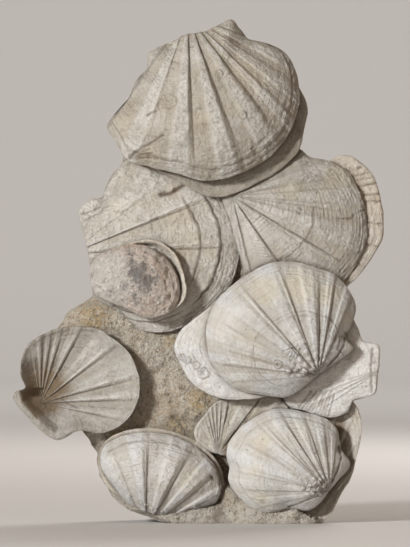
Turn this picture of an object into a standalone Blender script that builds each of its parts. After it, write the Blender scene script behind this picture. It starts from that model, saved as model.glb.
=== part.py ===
"""A cluster of fossil scallop shells on its matrix block, standing on the block's sawn base.

Depths and thicknesses are millimetres, and a mesh is scaled to metres when it is made. Places across
the front are pixels of the reference view, u to the right and v down. A depth is measured from the
middle plane of the block towards the viewer, who looks along +Y. An angle on a valve is measured at
its beak: 0 points straight down and 90 points right.
"""

import bmesh
import bpy
import numpy as np
from mathutils import Matrix, Vector, noise

# Driving dimensions
CLUSTER_HEIGHT = 418.0
VIEW_TOP = 21.0
VIEW_BASE = 523.5
VIEW_BASE_MIDDLE = 243.5
PIXEL = CLUSTER_HEIGHT / (VIEW_BASE - VIEW_TOP)
TOUCHING_GAP = 0.3
METRES = 0.001
WELD = 2e-6
SHARP_ANGLE = 0.9
CUTTER_RISE = 12.0
CUTTER_GROWTH = 1.5

# Front rings of a valve from its heart to its margin, and the fewer rings behind
FRONT_RINGS = (0.22, 0.48, 0.74, 1.0)
PLAIN_FRONT_RINGS = (0.55, 1.0)
FLAT_DOME = 5.0
BACK_RINGS = (0.72, 1.0)
HOLLOW_BACK_RINGS = (0.35, 0.72, 1.0)

# Across a rib, from one groove at 0 to the next at 1: where it starts to rise, where its flat top starts
# and ends, and where it has fallen. Each place moves with the crest, which lies nearer the steeper flank.
RIB_PLACES = ((0.2, 0.65), (0.39, 0.63), (0.61, 0.63), (0.84, 0.5))
INSIDE_RIDGE = (0.0, 0.14, 0.5, 0.66)
STEEP_SIDE = (0.93, -0.36)
CREST_LEAN = 0.3

# A rib has its full height where it is this many degrees wide, and less where it is narrow or near the beak
FULL_RIB = 14.0
LEAST_RIB = 0.3
RIB_SLOPE = 0.24
NARROW_RIB = 10.0
MARGIN_FADE = 0.35
MARGIN_FADE_START = 0.7

# Shapes that all the valves share
ROUNDING_POWER = 2.2
ROUNDING_EDGE = 0.9
BEAK_SPREAD = 18.0
FAR_FROM_BEAK = 0.45
STEP_LENGTH = 0.03
FILL_POWER = 6
PLAIN_SPACING = 6

# How far a ring's points are pulled into line with their rib, where the margin is far enough from the beak
RING_PULL = 0.5
FAN_START = 0.9
FAN_LENGTH = 0.3

SHELL_COLOUR = (0.60, 0.55, 0.47, 1.0)
OYSTER_COLOUR = (0.42, 0.34, 0.26, 1.0)
MATRIX_COLOUR = (0.52, 0.43, 0.31, 1.0)
CHALK_ROUGHNESS = 0.9


def front_view(points):
    """View pixels as millimetres to the right of the base's middle and above the base."""
    uv = np.array(points, float)
    return np.stack([uv[..., 0] - VIEW_BASE_MIDDLE, VIEW_BASE - uv[..., 1]], axis=-1) * PIXEL


def closed_curve(points, steps=6):
    """A smooth closed curve through the points, as a centripetal Catmull-Rom spline."""
    p = np.array(points, float)
    before, after, last = np.roll(p, 1, 0), np.roll(p, -1, 0), np.roll(p, -2, 0)
    lengths = [np.sqrt(np.linalg.norm(b - a, axis=1)) for a, b in ((before, p), (p, after), (after, last))]
    t0 = np.zeros(len(p))
    t1 = t0 + lengths[0]
    t2 = t1 + lengths[1]
    t3 = t2 + lengths[2]
    curve = []
    for step in range(steps):
        t = t1 + (t2 - t1) * step / steps

        def blend(a, b, ta, tb):
            share = ((t - ta) / (tb - ta))[:, None]
            return a + (b - a) * share

        a1, a2, a3 = blend(before, p, t0, t1), blend(p, after, t1, t2), blend(after, last, t2, t3)
        b1, b2 = blend(a1, a2, t0, t2), blend(a2, a3, t1, t3)
        curve.append(blend(b1, b2, t1, t2))
    return np.stack(curve, 1).reshape(-1, 2)


def bearing(offset):
    """Angle in degrees of an offset (right, up): 0 points down and 90 points right."""
    return np.degrees(np.arctan2(offset[..., 0], -offset[..., 1]))


def ease(x):
    x = np.clip(x, 0.0, 1.0)
    return x * x * (3 - 2 * x)


class Rim:
    """The distance from a middle point to a closed curve round it, in any direction."""

    def __init__(self, curve, middle):
        offset = curve - middle
        angles = bearing(offset)
        order = np.argsort(angles)
        self.middle = middle
        self.angles = angles[order]
        self.radii = np.linalg.norm(offset, axis=1)[order]

    def share(self, points):
        """0 at the middle and 1 on the curve."""
        offset = points - self.middle
        reach = np.interp(bearing(offset), self.angles, self.radii, period=360)
        return np.linalg.norm(offset, axis=-1) / reach


class Valve:
    """One valve as a relief: a front surface and a back surface over its outline in the view."""

    def __init__(self, name, outline, heart, crown, beak, grooves=(), level=0.0, lean=(0.0, 0.0), dome=0.0,
                 rib=0.0, rim=4.0, fill=0.0, steps=(), beak_rise=0.0, hollow=False, colour=SHELL_COLOUR):
        self.name = name
        self.curve = closed_curve(front_view(outline))
        self.heart = front_view(heart)
        self.crown = front_view(crown)
        self.beak = front_view(beak)
        self.grooves = np.array(grooves, float)
        self.level = level
        self.lean = np.array(lean) / PIXEL
        self.dome = dome
        self.rib = rib
        self.rim = rim
        self.fill = fill
        self.steps = steps
        self.beak_rise = beak_rise
        self.hollow = hollow
        self.colour = colour
        self.from_heart = Rim(self.curve, self.heart)
        self.from_crown = Rim(self.curve, self.crown)

    def rib_angle(self, points):
        """Angle at the beak, on the same turn as the grooves."""
        angle = bearing(points - self.beak)
        if len(self.grooves):
            middle = self.grooves.mean()
            angle = (angle - middle + 180) % 360 - 180 + middle
        return angle

    def reach(self, points):
        """How far out along its rib a point is: 0 at the beak and 1 on the margin."""
        edge = self.curve
        distance = np.linalg.norm(edge - self.beak, axis=1)
        angle = self.rib_angle(edge)
        far = distance > FAR_FROM_BEAK * distance.max()
        order = np.argsort(angle[far])
        radius = np.interp(self.rib_angle(points), angle[far][order], distance[far][order])
        return np.linalg.norm(points - self.beak, axis=-1) / radius

    def plane(self, points):
        return self.level + (points - self.crown) @ (self.lean * (1, -1))

    def crests(self):
        """Where each rib's crest lies between its two grooves, from 0 to 1."""
        middle = np.radians((self.grooves[1:] + self.grooves[:-1]) / 2)
        facing = np.cos(middle) * STEEP_SIDE[0] + np.sin(middle) * STEEP_SIDE[1]
        return 0.5 + CREST_LEAN * facing

    def rib_places(self, crest):
        """Where the rib rises, where its top starts and ends, and where it has fallen, from 0 to 1."""
        if self.hollow:
            return INSIDE_RIDGE
        return [place + (crest - 0.5) * shift for place, shift in RIB_PLACES]

    def rib_profile(self, across, crest):
        """A rib's height from 0 to 1 between its grooves: a flat top, two flanks and a flat foot."""
        rise, top_start, top_end, fallen = self.rib_places(crest)
        return ease((across - rise) / (top_start - rise)) * ease((fallen - across) / (fallen - top_end))

    def ribs(self, points):
        """The ribs, which fade at the beak and a little at the margin."""
        if len(self.grooves) < 2:
            return 0.0
        angle = self.rib_angle(points)
        index = np.clip(np.searchsorted(self.grooves, angle) - 1, 0, len(self.grooves) - 2)
        start, end = self.grooves[index], self.grooves[index + 1]
        across = np.clip((angle - start) / (end - start), 0, 1)
        profile = self.rib_profile(across, self.crests()[index])
        distance = np.linalg.norm(points - self.beak, axis=-1)
        room = RIB_SLOPE * distance * np.radians(end - start)
        height = np.minimum(self.rib * np.clip((end - start) / FULL_RIB, LEAST_RIB, 1.0), room)
        near_margin = ease((self.reach(points) - MARGIN_FADE_START) / (1 - MARGIN_FADE_START))
        return profile * height * (1 - MARGIN_FADE * near_margin)

    def body(self, points):
        """The rounding of the valve over its plane, hollow where the dome is negative."""
        q = np.clip(self.from_crown.share(points), 0, 1)
        return self.dome * (1 - q**ROUNDING_POWER) ** ROUNDING_EDGE

    def drops(self, reach):
        return sum(drop * ease((reach - place) / STEP_LENGTH) for place, drop in self.steps)

    def front(self, points):
        reach = self.reach(points)
        near_beak = np.exp(-(((points - self.beak) ** 2).sum(-1)) / BEAK_SPREAD**2)
        height = self.plane(points) + self.body(points) + self.ribs(points)
        return height + self.beak_rise * near_beak - self.drops(reach)

    def back(self, points):
        if self.hollow:
            return self.plane(points) + self.body(points) - self.rim
        q = np.clip(self.from_crown.share(points), 0, 1)
        total_drop = sum(drop for _, drop in self.steps)
        return self.plane(points) - total_drop - self.rim - self.fill * (1 - q**FILL_POWER)

    def margin_points(self):
        """Points on the outline: at each change of slope across a rib, and evenly where there are none."""
        edge = self.curve
        count = len(edge)
        angle = self.rib_angle(edge)
        distance = np.linalg.norm(edge - self.beak, axis=1)
        far = np.flatnonzero(distance > FAR_FROM_BEAK * distance.max())
        order = far[np.argsort(angle[far])]
        wanted = list(self.grooves[-1:])
        if len(self.grooves) > 1:
            for start, end, crest in zip(self.grooves, self.grooves[1:], self.crests()):
                places = self.rib_places(crest)
                if end - start < NARROW_RIB:
                    places = 0.0, (places[1] + places[2]) / 2
                wanted += [start + (end - start) * place for place in places]
        inside = [w for w in wanted if angle[order[0]] < w < angle[order[-1]]]
        picked = {int(order[np.argmin(np.abs(angle[order] - w))]) for w in inside}
        room = PLAIN_SPACING // 2
        for k in range(0, count, PLAIN_SPACING):
            if all(room < (k - p) % count < count - room for p in picked):
                picked.add(k)
        return edge[sorted(picked)]

    def ring(self, margin, share):
        """The ring of points at this share of the way from the heart, bent to run along the ribs."""
        if not len(self.grooves):
            return self.heart + (margin - self.heart) * share
        out = margin - self.beak
        length = np.linalg.norm(margin - self.heart, axis=1, keepdims=True)
        along = margin - out / np.linalg.norm(out, axis=1, keepdims=True) * length * RING_PULL
        middle = (self.heart + margin) / 2
        fan = ease((np.linalg.norm(out, axis=1, keepdims=True) / length - FAN_START) / FAN_LENGTH)
        pull = middle + (along - middle) * fan
        return (1 - share) ** 2 * self.heart + 2 * share * (1 - share) * pull + share**2 * margin


def relief_mesh(name, front_rings, back_rings, front_tip, back_tip):
    """A closed mesh from rings of (right, up, depth) points, each with one tip in its middle."""
    mesh = bmesh.new()

    def add(points):
        return [mesh.verts.new((x * METRES, -depth * METRES, z * METRES)) for x, z, depth in points]

    front = [add(ring) for ring in front_rings]
    back = [add(ring) for ring in back_rings]
    count = len(front[0])
    tips = add([front_tip]), add([back_tip])
    for k in range(count):
        n = (k + 1) % count
        mesh.faces.new((tips[0][0], front[0][n], front[0][k]))
        mesh.faces.new((tips[1][0], back[0][k], back[0][n]))
        for inner, outer in zip(front, front[1:]):
            mesh.faces.new((inner[k], inner[n], outer[n], outer[k]))
        for inner, outer in zip(back, back[1:]):
            mesh.faces.new((inner[n], inner[k], outer[k], outer[n]))
        mesh.faces.new((front[-1][k], front[-1][n], back[-1][n], back[-1][k]))
    bmesh.ops.triangulate(mesh, faces=mesh.faces[:], quad_method="SHORT_EDGE")
    bmesh.ops.recalc_face_normals(mesh, faces=mesh.faces[:])
    data = bpy.data.meshes.new(name)
    mesh.to_mesh(data)
    mesh.free()
    return data


def with_depth(points, depth):
    return np.column_stack([points, np.broadcast_to(depth, len(points))])


def tip(point, depth):
    return (point[0], point[1], float(depth))


def back_rings(valve, margin):
    rings = []
    for share in HOLLOW_BACK_RINGS if valve.hollow else BACK_RINGS:
        ring = valve.ring(margin, share)
        depth = valve.front(ring) - valve.rim
        if share < 1.0:
            depth = np.minimum(valve.back(ring), depth)
        rings.append(with_depth(ring, depth))
    return rings


def valve_mesh(valve):
    margin = valve.margin_points()
    front = []
    for share in FRONT_RINGS if abs(valve.dome) > FLAT_DOME else PLAIN_FRONT_RINGS:
        ring = valve.ring(margin, share)
        front.append(with_depth(ring, valve.front(ring)))
    heart = valve.heart[None]
    tips = tip(valve.heart, valve.front(heart)[0]), tip(valve.heart, valve.back(heart)[0])
    return relief_mesh(valve.name, front, back_rings(valve, margin), *tips)


def cutter_mesh(valve):
    """The valve grown by the touching gap and carried on to the front, so that nothing lies before it."""
    margin = valve.margin_points()
    out = margin - valve.heart
    grown = margin + out / np.linalg.norm(out, axis=1, keepdims=True) * TOUCHING_GAP * CUTTER_GROWTH
    back = back_rings(valve, margin)
    for ring in back:
        ring[:, 2] -= TOUCHING_GAP
    back[-1][:, :2] = grown
    lid = valve.front(margin).max() + abs(valve.dome) + CUTTER_RISE
    tips = tip(valve.heart, lid), tip(valve.heart, valve.back(valve.heart[None])[0] - TOUCHING_GAP)
    return relief_mesh(valve.name + "_cutter", [with_depth(grown, lid)], back, *tips)


# The valves. Outlines run clockwise in the view.
TOP = Valve(
    "top_scallop",
    outline=[(150, 53), (167, 46), (185, 36), (205, 32), (220, 25), (231, 20.5), (240, 30), (247, 39),
             (270, 45), (284, 53), (294, 68), (299, 95), (296, 115), (288, 135), (277, 149), (262, 162),
             (243, 172), (222, 179), (200, 180), (176, 173), (150, 167), (128, 160), (117, 142),
             (108, 126), (120, 110), (129, 99), (136, 82), (147, 70)],
    heart=(196, 60), crown=(212, 100), beak=(188, 15),
    grooves=(-36, -17.5, 2.5, 20.5, 37.5, 46.5, 58, 70),
    level=61, lean=(-0.02, 0.04), dome=27, rib=3.8, rim=4, fill=10, steps=((0.93, 1.0),),
)
TOP_LOWER = Valve(
    "top_scallop_lower_valve",
    outline=[(160, 60), (200, 45), (250, 48), (280, 62), (299, 88), (307, 107), (303, 132), (299, 150),
             (283, 167), (262, 180), (240, 191), (222, 196.5), (205, 195), (190, 187), (165, 174),
             (135, 162), (122, 142), (122, 120), (134, 95)],
    heart=(210, 110), crown=(215, 115), beak=(190, 35),
    level=48, lean=(-0.01, 0.02), rim=5, fill=3,
)
LEFT = Valve(
    "left_scallop",
    outline=[(79, 211), (90, 200), (103, 197), (106, 188), (112, 175), (127, 160), (150, 152),
             (180, 155), (207, 170), (227, 196), (236, 215), (240, 243), (235, 273), (226, 293),
             (208, 312), (190, 324), (165, 332), (140, 329), (118, 311), (95, 297), (90, 262), (84, 234)],
    heart=(110, 248), crown=(165, 245), beak=(70, 254),
    grooves=(40, 57, 75, 92.7, 111.5, 127.5, 147),
    level=35, lean=(0.02, 0.0), dome=9, rib=1.6, rim=4, fill=5, steps=((0.768, 1.8), (0.885, 2.2)),
)
OYSTER_LOWER = Valve(
    "oyster_lower_valve",
    outline=[(110, 256), (125, 246), (140, 240.5), (155, 240.5), (168, 247), (177, 257), (183, 272),
             (186, 290), (182, 303), (168, 311), (140, 311), (118, 302), (102, 290), (98, 272)],
    heart=(140, 276), crown=(140, 276), beak=(105, 274),
    level=50, lean=(0.02, 0.0), dome=-3, rim=5, fill=6, colour=OYSTER_COLOUR,
)
OYSTER = Valve(
    "oyster",
    outline=[(91, 266), (98, 257), (110, 250), (130, 245), (147, 247), (160, 254), (171, 265),
             (178, 279), (179, 296), (172, 310), (157, 318), (143, 317), (128, 309), (108, 301),
             (96, 294)],
    heart=(133, 280), crown=(135, 280), beak=(92, 276),
    level=54, dome=15, rim=3, fill=4, colour=OYSTER_COLOUR,
)
RIGHT = Valve(
    "right_scallop",
    outline=[(222, 190), (240, 178), (270, 160), (299, 149), (310, 157), (325, 160), (346, 170),
             (356, 184), (363, 202), (367, 222), (365, 245), (356, 264), (342, 283), (325, 298),
             (300, 306), (270, 300), (248, 280), (240, 255), (232, 225)],
    heart=(262, 215), crown=(298, 232), beak=(232, 196),
    grooves=(-3, 15.3, 35.5, 59, 82, 100, 118),
    level=38, lean=(0.0, 0.0), dome=13, rib=2.0, rim=4, fill=5, steps=((0.585, 0.7),), beak_rise=3,
)
RIGHT_LOWER = Valve(
    "right_scallop_lower_valve",
    outline=[(290, 165), (325, 163), (338, 156), (350, 156), (364, 165), (373, 175), (380, 195),
             (384, 225), (382, 239), (372, 258), (358, 276), (346, 287), (325, 300), (295, 300),
             (275, 270), (270, 215)],
    heart=(325, 228), crown=(325, 228), beak=(236, 200),
    level=35.5, lean=(-0.03, 0.0), rim=5, fill=5,
)
MIDDLE = Valve(
    "middle_scallop",
    outline=[(352, 348), (345, 337), (350, 327), (355, 310), (354, 302), (347, 289), (333, 274),
             (315, 268), (297, 263), (272, 263), (252, 272), (233, 285), (215, 304), (207, 325),
             (207, 345), (213, 365), (226, 381), (243, 391), (262, 394), (285, 397), (297, 392),
             (310, 381), (324, 369), (337, 361)],
    heart=(296, 346), crown=(284, 325), beak=(318, 375),
    grooves=(-204, -191, -181, -161, -139.5, -118.5, -105, -95.8, -84),
    level=57, lean=(0.07, 0.02), dome=24, rib=3.4, rim=4, fill=8, steps=((0.56, 0.8),), beak_rise=6,
)
MIDDLE_LOWER = Valve(
    "middle_scallop_lower_valve",
    outline=[(320, 350), (325, 310), (300, 283), (262, 275), (230, 292), (200, 315), (181, 331),
             (175, 346), (179, 360), (190, 380), (205, 392), (222, 398), (240, 399), (262, 397),
             (290, 385)],
    heart=(245, 345), crown=(245, 345), beak=(312, 374),
    level=49, lean=(0.07, 0.0), dome=3, rim=4, fill=7,
)
HINGE = Valve(
    "hinge_scallop",
    outline=[(378, 345), (370, 343), (363, 341), (357, 327), (346, 308), (325, 298), (303, 312),
             (287, 340), (281, 365), (281, 385), (288, 405), (305, 411), (325, 417), (338, 416),
             (348, 411), (353, 401), (366, 397), (375, 393), (377, 380)],
    heart=(340, 365), crown=(325, 365), beak=(381, 370),
    grooves=(-74, -68, -62, -56),
    level=45, lean=(0.09, 0.0), dome=3, rib=0.9, rim=4, fill=6,
)
TUCKED = Valve(
    "tucked_scallop",
    outline=[(203, 448), (196, 440), (195, 430), (205, 415), (218, 402), (240, 399), (256, 392),
             (275, 396), (289, 408), (292, 425), (284, 443), (262, 455), (228, 456)],
    heart=(240, 428), crown=(240, 425), beak=(218, 455),
    grooves=(120, 142, 168, 175, 181, 187, 193, 200),
    level=36, lean=(0.0, 0.0), dome=-7, rib=1.2, rim=3.5, hollow=True,
)
CORNER = Valve(
    "corner_scallop",
    outline=[(350, 463), (341, 451), (339, 440), (337, 430), (329, 421), (314, 415), (292, 410),
             (275, 409), (258, 416), (241, 428), (230, 442), (227, 455), (230, 468), (229, 480),
             (236, 493), (252, 507), (270, 512), (290, 508), (308, 510), (318, 504), (330, 488)],
    heart=(308, 470), crown=(285, 458), beak=(330, 491),
    grooves=(-188, -176, -162, -148, -136, -119.5, -102, -90, -76),
    level=50, lean=(0.06, 0.02), dome=22, rib=2.6, rim=4, fill=8, steps=((0.9, 0.8),), beak_rise=6,
)
BACK = Valve(
    "corner_back_valve",
    outline=[(325, 519), (341, 494), (351, 477), (357, 455), (361, 430), (359, 413), (353, 402),
             (335, 396), (305, 400), (282, 415), (270, 440), (275, 475), (292, 505)],
    heart=(318, 460), crown=(316, 458), beak=(312, 522),
    grooves=(140, 150, 158, 166, 174, 182),
    level=39, lean=(0.10, 0.02), dome=-11, rib=1.4, rim=4, hollow=True,
)
BOTTOM = Valve(
    "bottom_scallop",
    outline=[(129, 503), (112, 485), (102, 470), (101, 456), (106, 445), (120, 437), (140, 433.5),
             (160, 434), (180, 439), (198, 449), (210, 460), (218, 474), (220.5, 490), (215, 503),
             (190, 510), (158, 514)],
    heart=(160, 490), crown=(160, 472), beak=(146, 531),
    grooves=(110, 128.5, 150, 178, 202, 225),
    level=42, lean=(0.03, -0.03), dome=20, rib=4.2, rim=4, fill=4, beak_rise=4,
)
BOTTOM_LOWER = Valve(
    "bottom_scallop_lower_valve",
    outline=[(112, 492), (100, 474), (98, 460), (104, 444), (118, 434), (140, 429), (162, 430),
             (184, 436), (202, 446), (215, 459), (223, 476), (224, 490), (218, 504), (190, 508),
             (150, 510)],
    heart=(160, 470), crown=(160, 470), beak=(146, 531),
    level=36, lean=(0.02, -0.03), rim=5, fill=3,
)
HOLLOW = Valve(
    "hollow_scallop",
    outline=[(14, 399), (16, 392), (25, 388), (21, 375), (22, 358), (28, 345), (41, 336), (60, 328.5),
             (95, 328.5), (110, 337), (127, 351), (136, 368), (139.5, 385), (137, 403), (128, 418),
             (112, 430), (98, 433), (78, 430), (68, 435.5), (58, 440), (48, 436), (30, 419)],
    heart=(58, 388), crown=(56, 388), beak=(40, 404),
    grooves=(78, 92, 104.3, 126.3, 150.4, 162.7, 170.5, 178, 186),
    level=43, lean=(-0.03, 0.01), dome=-25, rib=1.9, rim=4, hollow=True,
)

# Each valve, with the valves that lie on it and cut into it
STACK = (
    (TOP, ()),
    (TOP_LOWER, (TOP,)),
    (OYSTER, ()),
    (OYSTER_LOWER, (OYSTER,)),
    (MIDDLE, ()),
    (MIDDLE_LOWER, (MIDDLE,)),
    (LEFT, (TOP, TOP_LOWER, OYSTER, OYSTER_LOWER, MIDDLE, MIDDLE_LOWER)),
    (RIGHT, (TOP, TOP_LOWER, LEFT, MIDDLE, MIDDLE_LOWER)),
    (RIGHT_LOWER, (RIGHT, TOP, TOP_LOWER, MIDDLE, MIDDLE_LOWER)),
    (CORNER, ()),
    (HINGE, (MIDDLE, MIDDLE_LOWER, CORNER, RIGHT, RIGHT_LOWER)),
    (TUCKED, (MIDDLE, MIDDLE_LOWER, CORNER, HINGE)),
    (BACK, (CORNER, HINGE, MIDDLE, TUCKED)),
    (BOTTOM, ()),
    (BOTTOM_LOWER, (BOTTOM, TUCKED)),
    (HOLLOW, ()),
)

# The matrix block: its left and right edges from the base up, and depths of its open ground
MATRIX_LEFT = [(164, 523.5), (150, 518.5), (128, 511), (114, 499), (108, 488), (101, 476), (98, 466),
               (97, 454), (88, 440), (80, 429), (66, 415), (52, 395), (46, 372), (47, 352), (56, 329),
               (70, 312), (86, 303), (95, 296), (94, 240), (98, 215), (105, 198), (124, 160),
               (130, 138), (142, 106), (155, 80), (172, 58), (196, 46)]
MATRIX_RIGHT = [(323, 523.5), (328, 512), (336, 497), (346, 478), (353, 462), (357, 440), (355, 420),
                (351, 402), (360, 385), (362, 350), (350, 333), (348, 310), (347, 288), (354, 268),
                (364, 245), (366, 220), (362, 195), (352, 175), (335, 164), (312, 160), (298, 148),
                (296, 125), (292, 100), (284, 78), (270, 62), (250, 52), (225, 46)]
GROUND = [(150, 345, 25), (160, 380, 23), (150, 415, 21), (105, 318, 27), (65, 320, 22), (195, 408, 25),
          (200, 432, 19), (90, 442, 22), (180, 426, 21), (250, 518, 48), (205, 518, 46), (300, 518, 50),
          (130, 509, 34), (225, 470, 20), (232, 503, 40), (180, 516, 43), (345, 300, 26), (352, 338, 26),
          (170, 150, 38), (250, 110, 42)]
GROUND_FALLOFF = 3.0
ROW_STEP = 13.0
LOW_ROWS = (523.5, 520.0, 514.5, 507.0, 498.0)
ACROSS_FRONT = 16
ROUND_BACK = 9
BACK_DEPTH_LOW = 62.0
BACK_DEPTH_HIGH = 40.0
LUMP = 2.6
LUMP_SIZE = 34.0
FINE_LUMP = 0.5
FINE_LUMP_SIZE = 0.4
EDGE_ROUNDING = 9.0
EDGE_START = 0.86
COVERED = 0.985
SKIN_INSIDE_VALVE = 1.6
UNDERCUT_SHARE = 0.25
FILL_LIMIT = 14.0
BACK_LUMP = 7.0
BACK_LUMP_SIZE = 85.0
TOP_ROUNDING = 0.2
TOP_LIMIT = 0.98
BACK_ROUND = 25.0
BACK_SQUARENESS = 0.85
BACK_FULLNESS = 0.7


def ground_depth(points):
    """Depth of the open matrix, from the chosen spots."""
    spots = np.array(GROUND, float)
    places = front_view(spots[:, :2])
    gap = np.linalg.norm(points[:, None] - places[None], axis=2) + 1.0
    weight = gap**-GROUND_FALLOFF
    return (weight * spots[:, 2]).sum(1) / weight.sum(1)


def lumps(x, y, z):
    """Smooth natural unevenness of the stone, in millimetres."""
    broad = noise.noise(Vector((x, y, z)) / LUMP_SIZE)
    fine = noise.noise(Vector((x, y, z)) / (LUMP_SIZE * FINE_LUMP_SIZE))
    return LUMP * (broad + FINE_LUMP * fine)


def matrix_skin(points, edge_share):
    """Depth of the matrix front: open ground, or inside the lowest valve that covers the point."""
    depth = ground_depth(points) - EDGE_ROUNDING * ease((edge_share - EDGE_START) / (1 - EDGE_START))
    depth += np.array([lumps(x, 0.0, z) for x, z in points])
    lowest = np.full(len(points), np.inf)
    for valve, _ in STACK:
        share = valve.from_heart.share(points)
        level = np.minimum(valve.back(points) + SKIN_INSIDE_VALVE, depth + FILL_LIMIT)
        undercut = depth + (level - depth) * ease((COVERED - share) / UNDERCUT_SHARE)
        level = np.where(level > depth, undercut, level)
        lowest = np.minimum(lowest, np.where(share < COVERED, level, np.inf))
    return np.where(np.isfinite(lowest), lowest, depth)


def matrix_edge(side, v):
    """Where the matrix ends on one side at this level, in view pixels."""
    u, levels = np.array(side).T
    return np.interp(-v, -levels, u)


def matrix_row(v):
    """One level cut through the matrix, as points (right, up, depth) round its edge."""
    left, right = matrix_edge(MATRIX_LEFT, v), matrix_edge(MATRIX_RIGHT, v)
    u = np.linspace(left, right, ACROSS_FRONT)
    front = front_view(np.column_stack([u, np.full(ACROSS_FRONT, v)]))
    edge_share = np.abs(np.linspace(-1, 1, ACROSS_FRONT))
    depth = matrix_skin(front, edge_share)
    up = front[0, 1]
    height_share = up / CLUSTER_HEIGHT
    top = np.clip((height_share - 1 + TOP_ROUNDING) / TOP_ROUNDING, 0, TOP_LIMIT)
    back_depth = BACK_DEPTH_LOW + (BACK_DEPTH_HIGH - BACK_DEPTH_LOW) * height_share
    back_depth = (back_depth + BACK_ROUND) * np.sqrt(1 - top**2) - BACK_ROUND
    middle = (front[0, 0] + front[-1, 0]) / 2
    half = (front[-1, 0] - front[0, 0]) / 2
    row = [(x, up, d) for (x, _), d in zip(front, depth)]
    for k in range(1, ROUND_BACK + 1):
        turn = np.pi * k / (ROUND_BACK + 1)
        side = np.sign(np.cos(turn)) * abs(np.cos(turn)) ** BACK_SQUARENESS
        edge = depth[-1] + (depth[0] - depth[-1]) * (1 - side) / 2
        fall = np.sin(turn) ** BACK_FULLNESS
        x = middle + half * side
        y = back_depth * fall - edge * (1 - fall)
        rough = lumps(x, y, up) + BACK_LUMP * noise.noise(Vector((x, y, up)) / BACK_LUMP_SIZE)
        row.append((x + rough * side, up, -(y + rough * fall)))
    return row


def matrix_mesh():
    """The block, lofted through its level cuts from the sawn base to the top."""
    rows = list(LOW_ROWS)
    while rows[-1] - ROW_STEP > MATRIX_LEFT[-1][1]:
        rows.append(rows[-1] - ROW_STEP)
    rows.append(MATRIX_LEFT[-1][1])
    mesh = bmesh.new()
    loops = []
    for v in rows:
        loops.append([mesh.verts.new((x * METRES, -d * METRES, z * METRES)) for x, z, d in matrix_row(v)])
    count = len(loops[0])
    for low, high in zip(loops, loops[1:]):
        for k in range(count):
            n = (k + 1) % count
            mesh.faces.new((low[k], low[n], high[n], high[k]))
    mesh.faces.new(loops[0][::-1])
    mesh.faces.new(loops[-1])
    bmesh.ops.triangulate(mesh, faces=mesh.faces[:])
    bmesh.ops.recalc_face_normals(mesh, faces=mesh.faces[:])
    data = bpy.data.meshes.new("matrix_block")
    mesh.to_mesh(data)
    mesh.free()
    return data


def chalk(name, colour):
    material = bpy.data.materials.new(name)
    material.use_nodes = True
    shader = material.node_tree.nodes["Principled BSDF"]
    shader.inputs["Base Color"].default_value = colour
    shader.inputs["Roughness"].default_value = CHALK_ROUGHNESS
    shader.inputs["Metallic"].default_value = 0.0
    return material


def place(name, data, centre, parent):
    """An object with its origin at the centre, under the cluster's empty."""
    data.transform(Matrix.Translation(-centre))
    thing = bpy.data.objects.new(name, data)
    thing.location = centre
    thing.parent = parent
    bpy.context.scene.collection.objects.link(thing)
    return thing


def volume_of(faces):
    return sum(face.calc_area() * face.normal.dot(face.calc_center_median()) / 3 for face in faces)


def keep_largest_body(mesh):
    """Removes loose chips that a cut leaves beside the main body."""
    left = set(mesh.faces)
    bodies = []
    while left:
        found = {left.pop()}
        edge_of = list(found)
        while edge_of:
            face = edge_of.pop()
            near = {other for edge in face.edges for other in edge.link_faces} - found
            found |= near
            edge_of += near
        left -= found
        bodies.append(found)
    main = max(bodies, key=volume_of)
    bmesh.ops.delete(mesh, geom=[f for f in mesh.faces if f not in main], context="FACES")
    loose = [v for v in mesh.verts if not v.link_faces]
    bmesh.ops.delete(mesh, geom=loose, context="VERTS")


def cut(thing, valves, cutters):
    """Takes the valves that lie on this piece out of it, each with the touching gap round it."""
    for valve in valves:
        modifier = thing.modifiers.new(valve.name, "BOOLEAN")
        modifier.operation = "DIFFERENCE"
        modifier.object = cutters[valve.name]
    bpy.context.view_layer.update()
    graph = bpy.context.evaluated_depsgraph_get()
    data = bpy.data.meshes.new_from_object(thing.evaluated_get(graph))
    thing.modifiers.clear()
    mesh = bmesh.new()
    mesh.from_mesh(data)
    bmesh.ops.remove_doubles(mesh, verts=mesh.verts[:], dist=WELD)
    bmesh.ops.dissolve_degenerate(mesh, edges=mesh.edges[:], dist=WELD)
    bmesh.ops.triangulate(mesh, faces=mesh.faces[:])
    keep_largest_body(mesh)
    mesh.to_mesh(data)
    mesh.free()
    thing.data = data


def finish(thing, material):
    thing.data.materials.clear()
    thing.data.materials.append(material)
    thing.data.shade_smooth()
    thing.data.set_sharp_from_angle(angle=SHARP_ANGLE)


def centre_of(valve):
    x, z = valve.heart
    return Vector((x, -valve.level, z)) * METRES


def main():
    for thing in list(bpy.data.objects):
        bpy.data.objects.remove(thing)
    cluster = bpy.data.objects.new("shell_cluster", None)
    bpy.context.scene.collection.objects.link(cluster)
    shell = chalk("fossil_shell", SHELL_COLOUR)
    oyster = chalk("fossil_oyster", OYSTER_COLOUR)
    stone = chalk("sandy_matrix", MATRIX_COLOUR)
    cutters = {}
    pieces = {}
    for valve, _ in STACK:
        cutter = place(valve.name + "_cutter", cutter_mesh(valve), centre_of(valve), cluster)
        cutter.hide_render = True
        cutter.display_type = "WIRE"
        cutters[valve.name] = cutter
        pieces[valve.name] = place(valve.name, valve_mesh(valve), centre_of(valve), cluster)
    for valve, above in STACK:
        cut(pieces[valve.name], above, cutters)
        finish(pieces[valve.name], oyster if valve.colour == OYSTER_COLOUR else shell)
    block = place("matrix_block", matrix_mesh(), Vector((0, 0, 0)), cluster)
    cut(block, [valve for valve, _ in STACK], cutters)
    finish(block, stone)
    for cutter in cutters.values():
        bpy.data.objects.remove(cutter)


main()
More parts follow.
